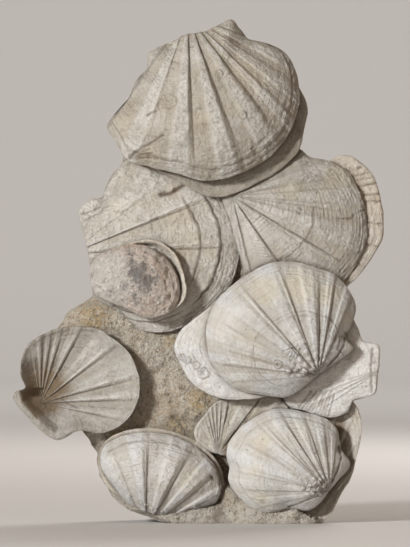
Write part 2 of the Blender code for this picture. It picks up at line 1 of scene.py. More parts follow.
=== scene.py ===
"""The looks of a cluster of fossil scallop shells on its matrix block.

Each valve and the block are remade here as fine meshes of the CAD solids' forms, with ribs, growth
steps, striae, chips and grit, and get chalky procedural materials. Depths and thicknesses are
millimetres, and a mesh is scaled to metres when it is made. Places across the front are pixels of the
reference view, u to the right and v down. A depth is measured towards the viewer, who looks along +Y.
An angle on a valve is measured in degrees at its beak: 0 points straight down and 90 points right.
"""

import math

import bpy
import numpy as np
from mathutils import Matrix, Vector
from mathutils.noise import noise as stone_noise


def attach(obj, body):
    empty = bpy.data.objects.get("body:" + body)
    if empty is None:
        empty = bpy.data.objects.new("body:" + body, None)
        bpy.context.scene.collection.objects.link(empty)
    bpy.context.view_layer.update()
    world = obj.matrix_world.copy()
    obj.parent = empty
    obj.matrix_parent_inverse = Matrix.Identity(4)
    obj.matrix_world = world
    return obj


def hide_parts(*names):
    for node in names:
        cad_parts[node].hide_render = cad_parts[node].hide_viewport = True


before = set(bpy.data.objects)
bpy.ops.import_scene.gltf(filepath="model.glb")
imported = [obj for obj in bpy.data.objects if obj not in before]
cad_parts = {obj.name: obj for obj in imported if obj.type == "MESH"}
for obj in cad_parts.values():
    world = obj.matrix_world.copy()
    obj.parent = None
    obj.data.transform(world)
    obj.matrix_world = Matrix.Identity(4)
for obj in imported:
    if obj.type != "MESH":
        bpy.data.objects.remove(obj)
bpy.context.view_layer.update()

# The view's scale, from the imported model's height
METRES = 0.001
VIEW_TOP = 21.0
VIEW_BASE = 523.5
VIEW_BASE_MIDDLE = 243.5
CLUSTER_HEIGHT = 418.0
PIXEL = CLUSTER_HEIGHT / (VIEW_BASE - VIEW_TOP)
VIEW_SIZE = (410, 547)

# Mesh density: points round a valve's margin and rings to it, and rings on its edge and its back
LARGE = (440, 104)
MIDDLING = (350, 78)
SMALL = (300, 50)
PLAIN = (240, 22)
RIM_ROWS = 4
BACK_ROWS = 5
HOLLOW_BACK_ROWS = 26

# Across a rib, from one groove at 0 to the next at 1: where it starts to rise, where its flat top starts
# and ends, and where it has fallen. Each place moves with the crest, which lies nearer the steeper flank.
RIB_PLACES = ((0.2, 1.1), (0.39, 0.63), (0.66, 0.6), (0.86, 1.1))
LEAST_FLANK = 0.15
LEAST_FOOT = 0.012
INSIDE_RIDGE = (0.0, 0.14, 0.5, 0.66)
STEEP_SIDE = (0.93, -0.36)
CREST_LEAN = 0.3
CREST_OUTSIDE = 0.6
GROOVE_WIDTH = 0.7

# A rib has its full height where it is this many degrees wide, and less where it is narrow or near the beak
FULL_RIB = 14.0
LEAST_RIB = 0.3
RIB_SLOPE = 0.24
MARGIN_FADE = 0.35
MARGIN_FADE_START = 0.7

# Shapes that all the valves share
ROUNDING_POWER = 2.2
ROUNDING_EDGE = 0.9
BEAK_SPREAD = 18.0
FAR_FROM_BEAK = 0.45
STEP_LENGTH = 0.012
STEP_WANDER = 0.009
STEP_TURN_FADE = 8.0
FILL_POWER = 6

# How far a ring's points are pulled into line with their rib, where the margin is far enough from the beak
RING_PULL = 0.5
FAN_START = 0.9
FAN_LENGTH = 0.3

# Tints of the valves
CREAM = (1.0, 0.985, 0.97)
WHITE = (0.985, 1.03, 1.11)
PEARL = (1.0, 1.01, 1.03)


def front_view(points):
    """View pixels as millimetres to the right of the base's middle and above the base."""
    uv = np.array(points, float)
    return np.stack([uv[..., 0] - VIEW_BASE_MIDDLE, VIEW_BASE - uv[..., 1]], axis=-1) * PIXEL


def closed_curve(points, steps=24):
    """A smooth closed curve through the points, as a centripetal Catmull-Rom spline."""
    p = np.array(points, float)
    before, after, last = np.roll(p, 1, 0), np.roll(p, -1, 0), np.roll(p, -2, 0)
    lengths = [np.sqrt(np.linalg.norm(b - a, axis=1)) for a, b in ((before, p), (p, after), (after, last))]
    t0 = np.zeros(len(p))
    t1 = t0 + lengths[0]
    t2 = t1 + lengths[1]
    t3 = t2 + lengths[2]

    def blend(t, a, b, ta, tb):
        return a + (b - a) * ((t - ta) / (tb - ta))[:, None]

    curve = []
    for step in range(steps):
        t = t1 + (t2 - t1) * step / steps
        a1, a2, a3 = blend(t, before, p, t0, t1), blend(t, p, after, t1, t2), blend(t, after, last, t2, t3)
        b1, b2 = blend(t, a1, a2, t0, t2), blend(t, a2, a3, t1, t3)
        curve.append(blend(t, b1, b2, t1, t2))
    return np.stack(curve, 1).reshape(-1, 2)


def evenly(curve, count):
    """The closed curve as this many points at even steps along it."""
    loop = np.vstack([curve, curve[:1]])
    run = np.concatenate([[0], np.cumsum(np.linalg.norm(np.diff(loop, axis=0), axis=1))])
    at = np.linspace(0, run[-1], count, endpoint=False)
    return np.column_stack([np.interp(at, run, loop[:, axis]) for axis in (0, 1)])


def bearing(offset):
    """Angle in degrees of an offset (right, up): 0 points down and 90 points right."""
    return np.degrees(np.arctan2(offset[..., 0], -offset[..., 1]))


def ease(x):
    x = np.clip(x, 0.0, 1.0)
    return x * x * (3 - 2 * x)


# Smooth noise from a seeded table, for many points at once
TABLE = np.random.default_rng(11).uniform(-1, 1, 4096)


def noise(*axes):
    """Value noise from -1 to 1, with a period of one unit, of one to three coordinates."""
    cells = [np.floor(a).astype(np.int64) for a in axes]
    parts = [ease(a - c) for a, c in zip(axes, cells)]
    primes = (73856093, 19349663, 83492791)
    total = 0.0
    for corner in range(2 ** len(axes)):
        weight = 1.0
        key = np.zeros_like(cells[0])
        for bit, (cell, part, prime) in enumerate(zip(cells, parts, primes)):
            high = corner >> bit & 1
            weight = weight * (part if high else 1 - part)
            key = key ^ (cell + high) * prime
        total = total + weight * TABLE[key % len(TABLE)]
    return total


def rough(*axes, octaves=4):
    """Noise with finer noise on it."""
    return sum(noise(*(a * 2.1**k + 17.3 * k for a in axes)) * 0.5**k for k in range(octaves))


def gap_to_line(points, line):
    """Distance of each point to an open line of view pixels, in millimetres."""
    places = front_view(line)
    least = np.full(len(points), np.inf)
    for a, b in zip(places[:-1], places[1:]):
        along = np.clip(((points - a) @ (b - a)) / ((b - a) @ (b - a)), 0, 1)
        least = np.minimum(least, np.linalg.norm(points - a - along[:, None] * (b - a), axis=1))
    return least


class Rim:
    """The distance from a middle point to a closed curve round it, in any direction."""

    def __init__(self, curve, middle):
        offset = curve - middle
        angles = bearing(offset)
        order = np.argsort(angles)
        self.middle = middle
        self.angles = angles[order]
        self.radii = np.linalg.norm(offset, axis=1)[order]

    def share(self, points):
        """0 at the middle and 1 on the curve."""
        offset = points - self.middle
        reach = np.interp(bearing(offset), self.angles, self.radii, period=360)
        return np.linalg.norm(offset, axis=-1) / reach


class Valve:
    """One valve as a relief: a front surface and a back surface over its outline in the view.

    The values before the first function are those of a valve that isn't given its own.
    """

    # The grooves' angles, the height of the ribs between them, and each rib's share of that height
    grooves = ()
    rib = 0.0
    rib_shares = ()

    # How far the plane rises towards the viewer for each view pixel to the right and down, the dome over
    # it, the rim's thickness, the back's bulge and the beak's rise, and whether the inside faces the viewer
    lean = (0.0, 0.0)
    dome = 0.0
    rim = 4.0
    fill = 0.0
    beak_rise = 0.0
    hollow = False

    # Growth steps as reach and drop, and the angles between which they are seen
    steps = ()
    step_turns = (-400, 400)

    # A flat lip round a hollow: its width and inner slope in view pixels, and the edge it follows
    lip = None

    # The surface: how deep each groove is and how dark its painted shade, the thin ridge beside it, which
    # has a painted highlight, as degrees from the groove and half width, the growth layers from beak to
    # margin and their height, and the height of the beak's knobs
    groove_strengths = ()
    ridge = (1.9, 1.3)
    growth = (20, 0.3)
    knobs = 0.0

    # How strongly the layers' edges are drawn, how strongly those at the margin show, and how dark the
    # valve's painted shade is beside the valves that lie on it
    layer_shade = 0.3
    margin_layers = 1.0
    contact_shade = 0.9

    # The valve's brightness, its own whiteness together with painted light and shade: darker for the top's
    # lower valve and the hollow, which lie in shade, and lighter for the hinge and tucked valves. The tint,
    # how rough the valve is, and how much browner it is between its ribs
    bright = 1.0
    tint = CREAM
    grit = 2.0
    feet = 0.3

    # Brown stain patches, some of them painted shade in hollows and recesses; pale patches, some worn and
    # some painted light on lit faces; and yellowish patches: centre and radius in view pixels, and strength
    stains_and_shade = ()
    pale_and_lit_patches = ()
    creams = ()

    # Cracks, chips and dark lines: half width and depth in millimetres, the darkness of their painted shade,
    # and points in view pixels
    cracks = ()

    # Ring marks, knobs and a crusty patch: centre and radius in view pixels, and height in millimetres
    rings = ()
    beads = ()
    crust = None

    density = SMALL
    slot = "shell"

    def __init__(self, name, outline, heart, beak, level, crown=None, **details):
        for key, value in details.items():
            setattr(self, key, value)
        self.name = name
        self.level = level
        self.curve = closed_curve(front_view(outline))
        self.heart = front_view(heart)
        self.crown = front_view(crown or heart)
        self.beak = front_view(beak)
        self.grooves = np.array(self.grooves, float)
        self.lean = np.array(self.lean) / PIXEL
        self.from_heart = Rim(self.curve, self.heart)
        self.from_crown = Rim(self.curve, self.crown)
        distance = np.linalg.norm(self.curve - self.beak, axis=1)
        angle = self.rib_angle(self.curve)
        far = distance > FAR_FROM_BEAK * distance.max()
        order = np.argsort(angle[far])
        self.far_angles = angle[far][order]
        self.far_distances = distance[far][order]

    def rib_angle(self, points):
        """Angle at the beak, on the same turn as the grooves."""
        angle = bearing(points - self.beak)
        if len(self.grooves):
            middle = self.grooves.mean()
            angle = (angle - middle + 180) % 360 - 180 + middle
        return angle

    def reach(self, points):
        """How far out along its rib a point is: 0 at the beak and 1 on the margin."""
        radius = np.interp(self.rib_angle(points), self.far_angles, self.far_distances)
        return np.linalg.norm(points - self.beak, axis=-1) / radius

    def plane(self, points):
        return self.level + (points - self.crown) @ (self.lean * (1, -1))

    def across_rib(self, points):
        """Place across the rib, from 0 to 1 between its grooves, the rib's width in degrees, its number."""
        angle = self.rib_angle(points)
        index = np.clip(np.searchsorted(self.grooves, angle) - 1, 0, len(self.grooves) - 2)
        start, end = self.grooves[index], self.grooves[index + 1]
        return np.clip((angle - start) / (end - start), 0, 1), end - start, index

    def crests(self):
        """Where each rib's crest lies between its two grooves, from 0 to 1."""
        middle = np.radians((self.grooves[1:] + self.grooves[:-1]) / 2)
        facing = np.cos(middle) * STEEP_SIDE[0] + np.sin(middle) * STEEP_SIDE[1]
        return 0.5 + CREST_LEAN * facing

    def rib_places(self, crest):
        """Where the rib rises, where its top starts and ends, and where it has fallen, from 0 to 1."""
        if self.hollow:
            return INSIDE_RIDGE
        rise, top_start, top_end, fallen = (place + (crest - 0.5) * shift for place, shift in RIB_PLACES)
        rise = np.clip(rise, LEAST_FOOT, top_start - LEAST_FLANK)
        return rise, top_start, top_end, np.clip(fallen, top_end + LEAST_FLANK, 1 - LEAST_FOOT)

    def rib_profile(self, points):
        """A rib's height at each point from 0 to 1: a flat top, two flanks and a flat foot."""
        across, _, index = self.across_rib(points)
        rise, top_start, top_end, fallen = self.rib_places(self.crests()[index])
        return ease((across - rise) / (top_start - rise)) * ease((fallen - across) / (fallen - top_end))

    def ribs(self, points):
        """The ribs, which fade at the beak and a little at the margin."""
        if len(self.grooves) < 2:
            return np.zeros(len(points))
        _, width, index = self.across_rib(points)
        distance = np.linalg.norm(points - self.beak, axis=-1)
        room = RIB_SLOPE * distance * np.radians(width)
        height = np.minimum(self.rib * np.clip(width / FULL_RIB, LEAST_RIB, 1.0), room)
        if self.rib_shares:
            height = height * np.array(self.rib_shares)[index]
        near_margin = ease((self.reach(points) - MARGIN_FADE_START) / (1 - MARGIN_FADE_START))
        return self.rib_profile(points) * height * (1 - MARGIN_FADE * near_margin)

    def groove_mark(self, points):
        """How much each point lies in a groove, from 0 to 1, by the groove's own strength."""
        if len(self.grooves) < 2:
            return np.zeros(len(points))
        away = np.abs(self.rib_angle(points)[:, None] - self.grooves[None])
        gap = np.radians(away.min(1)) * np.linalg.norm(points - self.beak, axis=-1)
        return np.exp(-((gap / GROOVE_WIDTH) ** 2)) * np.array(self.groove_strengths)[away.argmin(1)]

    def crest_share(self, points):
        """1 on a rib's crest and 0 at its foot, where the valve has ribs."""
        if len(self.grooves) < 2:
            return np.full(len(points), 0.5)
        angle = self.rib_angle(points)
        outside = (angle < self.grooves[0]) | (angle > self.grooves[-1])
        return np.where(outside, CREST_OUTSIDE, self.rib_profile(points))

    def body(self, points):
        """The rounding of the valve over its plane, hollow where the dome is negative."""
        q = np.clip(self.from_crown.share(points), 0, 1)
        rounding = self.dome * (1 - q**ROUNDING_POWER) ** ROUNDING_EDGE
        if self.lip:
            width, slope, line = self.lip
            rounding = rounding * ease((gap_to_line(points, line) / PIXEL - width) / slope)
        return rounding

    def drops(self, reach):
        return sum(drop * ease((reach - place) / STEP_LENGTH) for place, drop in self.steps)

    def step_share(self, points):
        """1 where the growth steps are seen and 0 beyond their turns."""
        low, high = self.step_turns
        angle = self.rib_angle(points)
        return ease((angle - low) / STEP_TURN_FADE) * ease((high - angle) / STEP_TURN_FADE)

    def ragged_reach(self, points):
        """The reach with the small wander of the growth steps."""
        angle = self.rib_angle(points)
        wander = noise(angle / 9 + self.level) + 0.5 * noise(angle / 2.3 + self.level)
        return self.reach(points) - STEP_WANDER * wander

    def front(self, points):
        near_beak = np.exp(-(((points - self.beak) ** 2).sum(-1)) / BEAK_SPREAD**2)
        height = self.plane(points) + self.body(points) + self.ribs(points)
        drops = self.drops(self.ragged_reach(points)) * self.step_share(points)
        return height + self.beak_rise * near_beak - drops

    def back(self, points):
        if self.hollow:
            return self.plane(points) + self.body(points) - self.rim
        q = np.clip(self.from_crown.share(points), 0, 1)
        total_drop = sum(drop for _, drop in self.steps)
        return self.plane(points) - total_drop - self.rim - self.fill * (1 - q**FILL_POWER)

    def ring(self, margin, share):
        """The ring of points at this share of the way from the heart, bent to run along the ribs."""
        if not len(self.grooves):
            return self.heart + (margin - self.heart) * share
        out = margin - self.beak
        length = np.linalg.norm(margin - self.heart, axis=1, keepdims=True)
        along = margin - out / np.linalg.norm(out, axis=1, keepdims=True) * length * RING_PULL
        middle = (self.heart + margin) / 2
        fan = ease((np.linalg.norm(out, axis=1, keepdims=True) / length - FAN_START) / FAN_LENGTH)
        pull = middle + (along - middle) * fan
        return (1 - share) ** 2 * self.heart + 2 * share * (1 - share) * pull + share**2 * margin


def cracks_alike(half, depth, shade, *lines):
    return [(half, depth, shade, line) for line in lines]


# The valves. Outlines run clockwise in the view.
TOP = Valve(
    "top_scallop",
    outline=[(150, 53), (167, 46), (185, 36), (205, 32), (220, 25), (231, 20.5), (240, 30), (247, 39),
             (270, 45), (284, 53), (294, 68), (299, 95), (296, 115), (288, 135), (277, 149), (262, 162),
             (243, 172), (222, 179), (200, 180), (176, 173), (150, 167), (128, 160), (117, 142),
             (108, 126), (120, 110), (129, 99), (136, 82), (147, 70)],
    heart=(196, 60), crown=(212, 100), beak=(188, 15),
    grooves=(-36, -17.5, 2.5, 20.5, 37.5, 46.5, 58, 70),
    groove_strengths=(0.0, 0.35, 0.9, 1.0, 0.85, 0.3, 0.25, 0.2),
    rib_shares=(0.3, 0.9, 1.0, 1.0, 0.8, 0.6, 0.5),
    level=61, lean=(-0.02, 0.04), dome=27, rib=3.8, fill=10, steps=((0.93, 1.0),),
    growth=(24, 0.28), layer_shade=0.12, knobs=0.7, density=LARGE,
    bright=0.965, tint=PEARL, grit=1.95, feet=0.65,
    stains_and_shade=((143, 156, 8, 0.3), (204, 128, 9, 0.2), (207, 92, 7, 0.12), (131, 108, 12, 0.12)),
    pale_and_lit_patches=((150, 116, 15, 0.3), (192, 55, 14, 0.3)),
    creams=((152, 155, 9, 0.6), (202, 122, 10, 0.5), (236, 110, 8, 0.4), (122, 122, 9, 0.3)),
    cracks=[
        (1.0, 0.9, 0.8, [(148, 116.5), (151, 114.5), (156, 112.5)]),
        (1.1, 1.3, 0.8, [(163, 136), (156, 141), (146, 147), (136, 153), (130, 159)]),
        (0.8, 0.5, 0.55, [(240, 156), (254, 147.5), (268, 136)]),
        (0.8, 0.6, 0.6, [(225, 175.6), (247, 166), (262, 158), (272.6, 150.3), (284, 138)]),
        (0.9, 0.6, 0.5, [(160, 102), (158, 108), (161, 113)]),
        *cracks_alike(0.8, 0.5, 0.5, [(289.4, 88), (288, 100), (286, 110)],
                      [(252, 142), (255, 145), (252, 149), (256, 152), (254, 156)],
                      [(213, 35), (228, 38), (240, 45)]),
        *cracks_alike(0.8, 0.5, 0.4, [(214, 36), (226, 43), (237, 52)], [(213, 38), (224, 48), (234, 60)]),
        *cracks_alike(0.8, 0.8, 0.6, [(131, 158.5), (140, 152.5), (150, 150)],
                      [(132, 159), (142, 155), (153, 153.5)], [(132, 159.5), (143, 158), (156, 158.5)]),
    ],
    rings=((168.7, 102.6, 6.2, 0.6), (168.7, 102.6, 3.0, 0.4), (219.3, 75.2, 2.4, 0.8),
           (242.4, 116, 2.6, 0.9), (255, 110, 1.8, 0.9), (234.7, 144, 2.0, 0.9)),
)
TOP_LOWER = Valve(
    "top_scallop_lower_valve",
    outline=[(160, 60), (200, 45), (250, 48), (280, 62), (299, 88), (307, 107), (303, 132), (299, 150),
             (283, 167), (262, 180), (240, 191), (222, 196.5), (205, 195), (190, 187), (165, 174),
             (135, 162), (122, 142), (122, 120), (134, 95)],
    heart=(210, 110), crown=(215, 115), beak=(190, 35),
    level=48, lean=(-0.01, 0.02), rim=5, fill=3,
    growth=(24, 0.6), layer_shade=0.5, density=PLAIN,
    bright=0.73, grit=1.5, feet=0.45,
)
LEFT = Valve(
    "left_scallop",
    outline=[(79, 211), (90, 200), (103, 197), (106, 188), (112, 175), (127, 160), (150, 152),
             (180, 155), (207, 170), (227, 196), (236, 215), (240, 243), (235, 273), (226, 293),
             (208, 312), (190, 324), (165, 332), (140, 329), (118, 311), (95, 297), (90, 262), (84, 234)],
    heart=(110, 248), crown=(165, 245), beak=(70, 254),
    grooves=(40, 57, 75, 92.7, 111.5, 127.5, 147),
    groove_strengths=(0.1, 0.12, 0.15, 0.6, 0.95, 0.2, 0.05),
    rib_shares=(0.5, 0.6, 0.9, 0.9, 0.4, 0.3),
    level=35, lean=(0.02, 0.0), dome=9, rib=1.6, fill=5,
    steps=((0.75, 1.8), (0.868, 2.2)), step_turns=(35, 119),
    growth=(22, 0.3), layer_shade=0.2, contact_shade=0.5, density=LARGE,
    bright=1.05, tint=PEARL, grit=1.95, feet=0.2,
    # The first two pale patches are painted light on the lit lower margin
    pale_and_lit_patches=((160, 324, 15, 0.9), (184, 319, 13, 0.8), (205, 300, 11, 0.4), (112, 212, 20, 0.25)),
    creams=((116, 208, 9, 0.5), (196, 238, 9, 0.4)),
    cracks=[
        (1.6, 2.4, 1.0, [(161.8, 194.7), (169.9, 193.5), (177.9, 189), (184.8, 185)]),
        (1.2, 1.4, 1.0, [(153, 220), (157, 218.5)]),
        (0.8, 0.6, 0.45, [(82, 214), (92, 211), (100, 207)]),
        (0.8, 0.6, 0.4, [(83, 222), (93, 216), (101, 213)]),
        *cracks_alike(0.8, 0.5, 0.5, [(177, 249.4), (199.7, 249.2), (219, 247)],
                      [(150, 323), (172, 322.5), (195, 312)]),
    ],
)
OYSTER = Valve(
    "oyster",
    outline=[(91, 266), (98, 257), (110, 250), (130, 245), (147, 247), (160, 254), (171, 265),
             (178, 279), (179, 296), (172, 310), (157, 318), (143, 317), (128, 309), (108, 301),
             (96, 294)],
    heart=(133, 280), crown=(135, 280), beak=(92, 276),
    level=54, dome=15, rim=3, fill=4, growth=(9, 0.7), slot="oyster",
)
OYSTER_LOWER = Valve(
    "oyster_lower_valve",
    outline=[(110, 256), (125, 246), (140, 240.5), (155, 240.5), (168, 247), (177, 257), (183, 272),
             (186, 290), (182, 303), (168, 311), (140, 311), (118, 302), (102, 290), (98, 272)],
    heart=(140, 276), beak=(105, 274),
    level=50, lean=(0.02, 0.0), dome=-16, rim=5, fill=6,
    growth=(8, 0.5), contact_shade=0.2, density=PLAIN, slot="oyster",
    bright=1.32, grit=1.8,
)
RIGHT = Valve(
    "right_scallop",
    outline=[(222, 190), (240, 178), (270, 160), (299, 149), (310, 157), (325, 160), (346, 170),
             (356, 184), (363, 202), (367, 222), (365, 245), (356, 264), (342, 283), (325, 298),
             (300, 306), (270, 300), (248, 280), (240, 255), (232, 225)],
    heart=(262, 215), crown=(298, 232), beak=(232, 196),
    grooves=(-3, 15.3, 35.5, 59, 82, 100, 118),
    groove_strengths=(0.3, 0.45, 0.9, 0.75, 0.3, 0.2, 0.05),
    level=38, dome=13, rib=2.7, fill=5, steps=((0.585, 0.7),), step_turns=(28, 86), beak_rise=3,
    growth=(34, 0.5), layer_shade=0.36, knobs=0.8, density=LARGE,
    bright=0.94, tint=PEARL, grit=1.85, feet=0.4,
    pale_and_lit_patches=((250, 238, 24, 0.55), (262, 203, 15, 0.35), (236, 214, 10, 0.5)),
    creams=((290, 190, 14, 0.4), (336, 176, 10, 0.4)),
    cracks=[
        (0.8, 0.7, 0.75, [(338.6, 218.4), (351, 218.4), (357.6, 212.6), (366, 209)]),
        *cracks_alike(0.9, 0.8, 0.8, [(300, 208), (301, 209.5)], [(299, 212.5), (299.5, 214)]),
    ],
)
RIGHT_LOWER = Valve(
    "right_scallop_lower_valve",
    outline=[(290, 165), (325, 163), (338, 156), (350, 156), (364, 165), (373, 175), (380, 195),
             (384, 225), (382, 239), (372, 258), (358, 276), (346, 287), (325, 300), (295, 300),
             (275, 270), (270, 215)],
    heart=(325, 228), beak=(236, 200),
    level=35.5, lean=(-0.03, 0.0), rim=5, fill=5, density=PLAIN,
    bright=1.24, grit=1.3,
    cracks=cracks_alike(
        0.8, 1.3, 0.8, [(347, 171), (362, 167)], [(350, 176.5), (369, 172.5)], [(355, 180), (373.5, 177)],
        [(360, 186), (377, 183)], [(363, 194.7), (381, 193.7)], [(365, 201), (382, 201)],
        [(367, 222), (386, 224.4)], [(366, 243.5), (380, 247)], [(357, 261.5), (366, 269)]),
)
MIDDLE = Valve(
    "middle_scallop",
    outline=[(352, 348), (345, 337), (350, 327), (355, 310), (354, 302), (347, 289), (333, 274),
             (315, 268), (297, 263), (272, 263), (252, 272), (233, 285), (215, 304), (207, 325),
             (207, 345), (213, 365), (226, 381), (243, 391), (262, 394), (285, 397), (297, 392),
             (310, 381), (324, 369), (337, 361)],
    heart=(296, 346), crown=(284, 325), beak=(318, 375),
    grooves=(-204, -191, -181, -161, -139.5, -118.5, -105, -95.8, -84),
    groove_strengths=(0.45, 0.8, 0.9, 1.0, 0.9, 0.2, 0.3, 0.35, 0.1),
    rib_shares=(1.0, 1.0, 1.0, 1.0, 0.8, 0.45, 0.35, 0.3),
    level=57, lean=(0.07, 0.02), dome=24, rib=3.0, fill=8, steps=((0.56, 0.8),), beak_rise=6,
    growth=(22, 0.2), layer_shade=0.18, margin_layers=0.5, knobs=1.6, density=LARGE,
    bright=0.945, tint=WHITE, grit=1.0, feet=0.45,
    stains_and_shade=((262, 290, 16, 0.10), (285, 308, 12, 0.10), (312, 375, 5, 0.25)),
    # The second pale patch is painted light on the lit ear
    pale_and_lit_patches=((228, 322, 18, 0.25), (350, 347, 6, 0.9), (303, 366, 9, 0.5), (296, 335, 10, 0.3)),
    creams=((266, 288, 15, 0.75), (298, 284, 17, 0.7), (328, 296, 13, 0.6), (345, 318, 9, 0.4)),
    cracks=[
        (0.8, 0.3, 0.3, [(338, 325), (325.8, 316.8), (301, 315.4), (290, 317)]),
        (0.8, 0.3, 0.2, [(290, 317), (273.7, 323.6), (260, 336), (253, 349.7), (251.8, 366), (256, 378.5)]),
        (0.8, 0.4, 0.4, [(251.8, 358), (276.5, 364.8), (295.7, 371.6)]),
        (0.9, 1.0, 0.85, [(345, 333), (343.5, 345), (337, 356), (327, 366)]),
        *cracks_alike(0.8, 0.4, 0.35, [(227, 325), (251.8, 341.5)], [(224, 364.8), (251.8, 369.6)]),
    ],
    rings=((277.8, 364, 2.6, 0.8), (222, 356, 3.0, 0.3), (226, 362, 2.4, 0.3)),
    beads=((289, 371, 3.2, 2.6), (296, 369, 2.4, 2.0), (304.5, 371.5, 3.4, 3.2), (313, 368.5, 2.8, 2.7),
           (320, 363.5, 2.8, 2.6)),
    crust=(291, 352, 10, 1.8),
)
MIDDLE_LOWER = Valve(
    "middle_scallop_lower_valve",
    outline=[(320, 350), (325, 310), (300, 283), (262, 275), (230, 292), (200, 315), (181, 331),
             (175, 346), (179, 360), (190, 380), (205, 392), (222, 398), (240, 399), (262, 397),
             (290, 385)],
    heart=(245, 345), beak=(312, 374),
    level=49, lean=(0.07, 0.0), dome=3, fill=7,
    growth=(14, 0.3), layer_shade=0.12, margin_layers=0.4,
    bright=1.22, tint=WHITE, grit=1.2, feet=0.15,
    rings=((182.0, 357.0, 1.7, 0.9), (187.3, 360.5, 2.2, 1.0), (192.0, 359.5, 1.8, 0.8),
           (196.5, 365.5, 2.4, 0.9), (203.5, 373.5, 3.9, 1.2)),
)
HINGE = Valve(
    "hinge_scallop",
    outline=[(378, 345), (370, 343), (363, 341), (357, 327), (346, 308), (325, 298), (303, 312),
             (287, 340), (281, 365), (281, 385), (288, 405), (305, 411), (325, 417), (338, 416),
             (348, 411), (353, 401), (366, 397), (375, 393), (377, 380)],
    heart=(340, 365), crown=(325, 365), beak=(381, 370),
    grooves=(-74, -68, -62, -56), groove_strengths=(0.2, 0.2, 0.2, 0.2),
    level=45, lean=(0.09, 0.0), dome=3, rib=0.9, fill=6,
    growth=(12, 0.2), layer_shade=0.12, margin_layers=0.3,
    bright=1.28, tint=WHITE, grit=1.1, feet=0.15,
    # Painted light on the lit ear
    pale_and_lit_patches=((362, 352, 14, 0.5),),
    cracks=[
        (0.9, 0.7, 0.6, [(372.5, 348), (371, 368), (372, 392)]),
        *cracks_alike(0.9, 0.5, 0.4, [(376, 362), (371, 364)], [(376, 375), (371, 376)]),
        *cracks_alike(0.7, 1.0, 0.6, *([(311 + 2.6 * k, 391 + 3 * (k % 2)), (299 + 3.3 * k, 408 + 0.9 * k)]
                                       for k in range(10))),
    ],
)
TUCKED = Valve(
    "tucked_scallop",
    outline=[(203, 448), (196, 440), (195, 430), (205, 415), (218, 402), (240, 399), (256, 392),
             (275, 396), (289, 408), (292, 425), (284, 443), (262, 455), (228, 456)],
    heart=(240, 428), crown=(240, 425), beak=(218, 455),
    grooves=(120, 142, 168, 175, 181, 187, 193, 200),
    groove_strengths=(0.1, 0.7, 0.6, 0.5, 0.5, 0.5, 0.5, 0.2),
    level=36, dome=-7, rib=1.2, rim=3.5, hollow=True,
    growth=(10, 0.15), layer_shade=0.1, margin_layers=0.4,
    bright=1.12, tint=PEARL, grit=1.3,
    # Painted shade low on the valve, where it lies in shade
    stains_and_shade=((236, 449, 14, 0.8),),
    cracks=[
        (0.9, 0.7, 0.75, [(260, 399), (247.4, 419.5), (233.4, 436)]),
        (0.9, 0.6, 0.5, [(229, 402), (227, 417), (219, 440)]),
        (0.8, 0.8, 0.8, [(209, 427.5), (210, 428.5)]),
    ],
)
CORNER = Valve(
    "corner_scallop",
    outline=[(350, 463), (341, 451), (339, 440), (337, 430), (329, 421), (314, 415), (292, 410),
             (275, 409), (258, 416), (241, 428), (230, 442), (227, 455), (230, 468), (229, 480),
             (236, 493), (252, 507), (270, 512), (290, 508), (308, 510), (318, 504), (330, 488)],
    heart=(308, 470), crown=(285, 458), beak=(330, 491),
    grooves=(-188, -176, -162, -148, -136, -119.5, -102, -90, -76),
    groove_strengths=(0.2, 0.3, 0.5, 0.7, 0.45, 0.25, 0.25, 0.25, 0.15),
    rib_shares=(1.0, 1.0, 1.0, 1.0, 0.9, 0.7, 0.5, 0.4), ridge=(1.7, 1.2),
    level=50, lean=(0.06, 0.02), dome=22, rib=1.5, fill=8, steps=((0.9, 0.8),), beak_rise=6,
    growth=(20, 0.15), layer_shade=0.1, margin_layers=0.35, knobs=1.6, density=MIDDLING,
    tint=WHITE, grit=0.8, feet=0.2,
    stains_and_shade=((322, 487, 7, 0.3), (264, 455, 9, 0.12), (262, 484, 8, 0.12), (262, 500, 3, 0.35)),
    creams=((261, 441, 9, 0.6), (254, 470, 8, 0.5), (262, 497, 7, 0.6), (300, 432, 12, 0.3)),
    cracks=[
        (0.8, 0.4, 0.3, [(248.7, 443.8), (276.7, 459), (304.8, 482)]),
        (0.9, 0.5, 0.4, [(252, 499), (262, 500)]),
        (0.9, 1.0, 0.85, [(338, 446), (341, 456), (338, 468), (331, 482)]),
        (0.9, 0.8, 0.6, [(289, 507), (303, 501), (318, 495)]),
        *cracks_alike(0.8, 0.4, 0.4, [(287, 434.8), (299.7, 455), (317.6, 478)],
                      [(304.8, 418), (312.4, 448.9), (325, 477)]),
    ],
    beads=((303, 487, 2.2, 1.3), (309, 485, 2.2, 1.3), (315, 483, 2.2, 1.4), (320, 480, 2.0, 1.3),
           (312, 492, 2.4, 1.6), (318, 489, 2.4, 1.6), (324, 485, 2.2, 1.5), (321, 494, 2.0, 1.4)),
    crust=(316, 488, 9, 0.8),
)
BACK = Valve(
    "corner_back_valve",
    outline=[(325, 519), (341, 494), (351, 477), (357, 455), (361, 430), (359, 413), (353, 402),
             (335, 396), (305, 400), (282, 415), (270, 440), (275, 475), (292, 505)],
    heart=(318, 460), crown=(316, 458), beak=(312, 522),
    grooves=(140, 150, 158, 166, 174, 182), groove_strengths=(0.2, 0.4, 0.5, 0.5, 0.4, 0.3),
    level=39, lean=(0.10, 0.02), dome=-11, rib=1.4, hollow=True, growth=(10, 0.25),
    bright=1.05, grit=1.3,
    # Painted shade in the recess beside the corner valve
    stains_and_shade=((341, 428, 9, 0.8), (340, 442, 6, 0.7)),
)
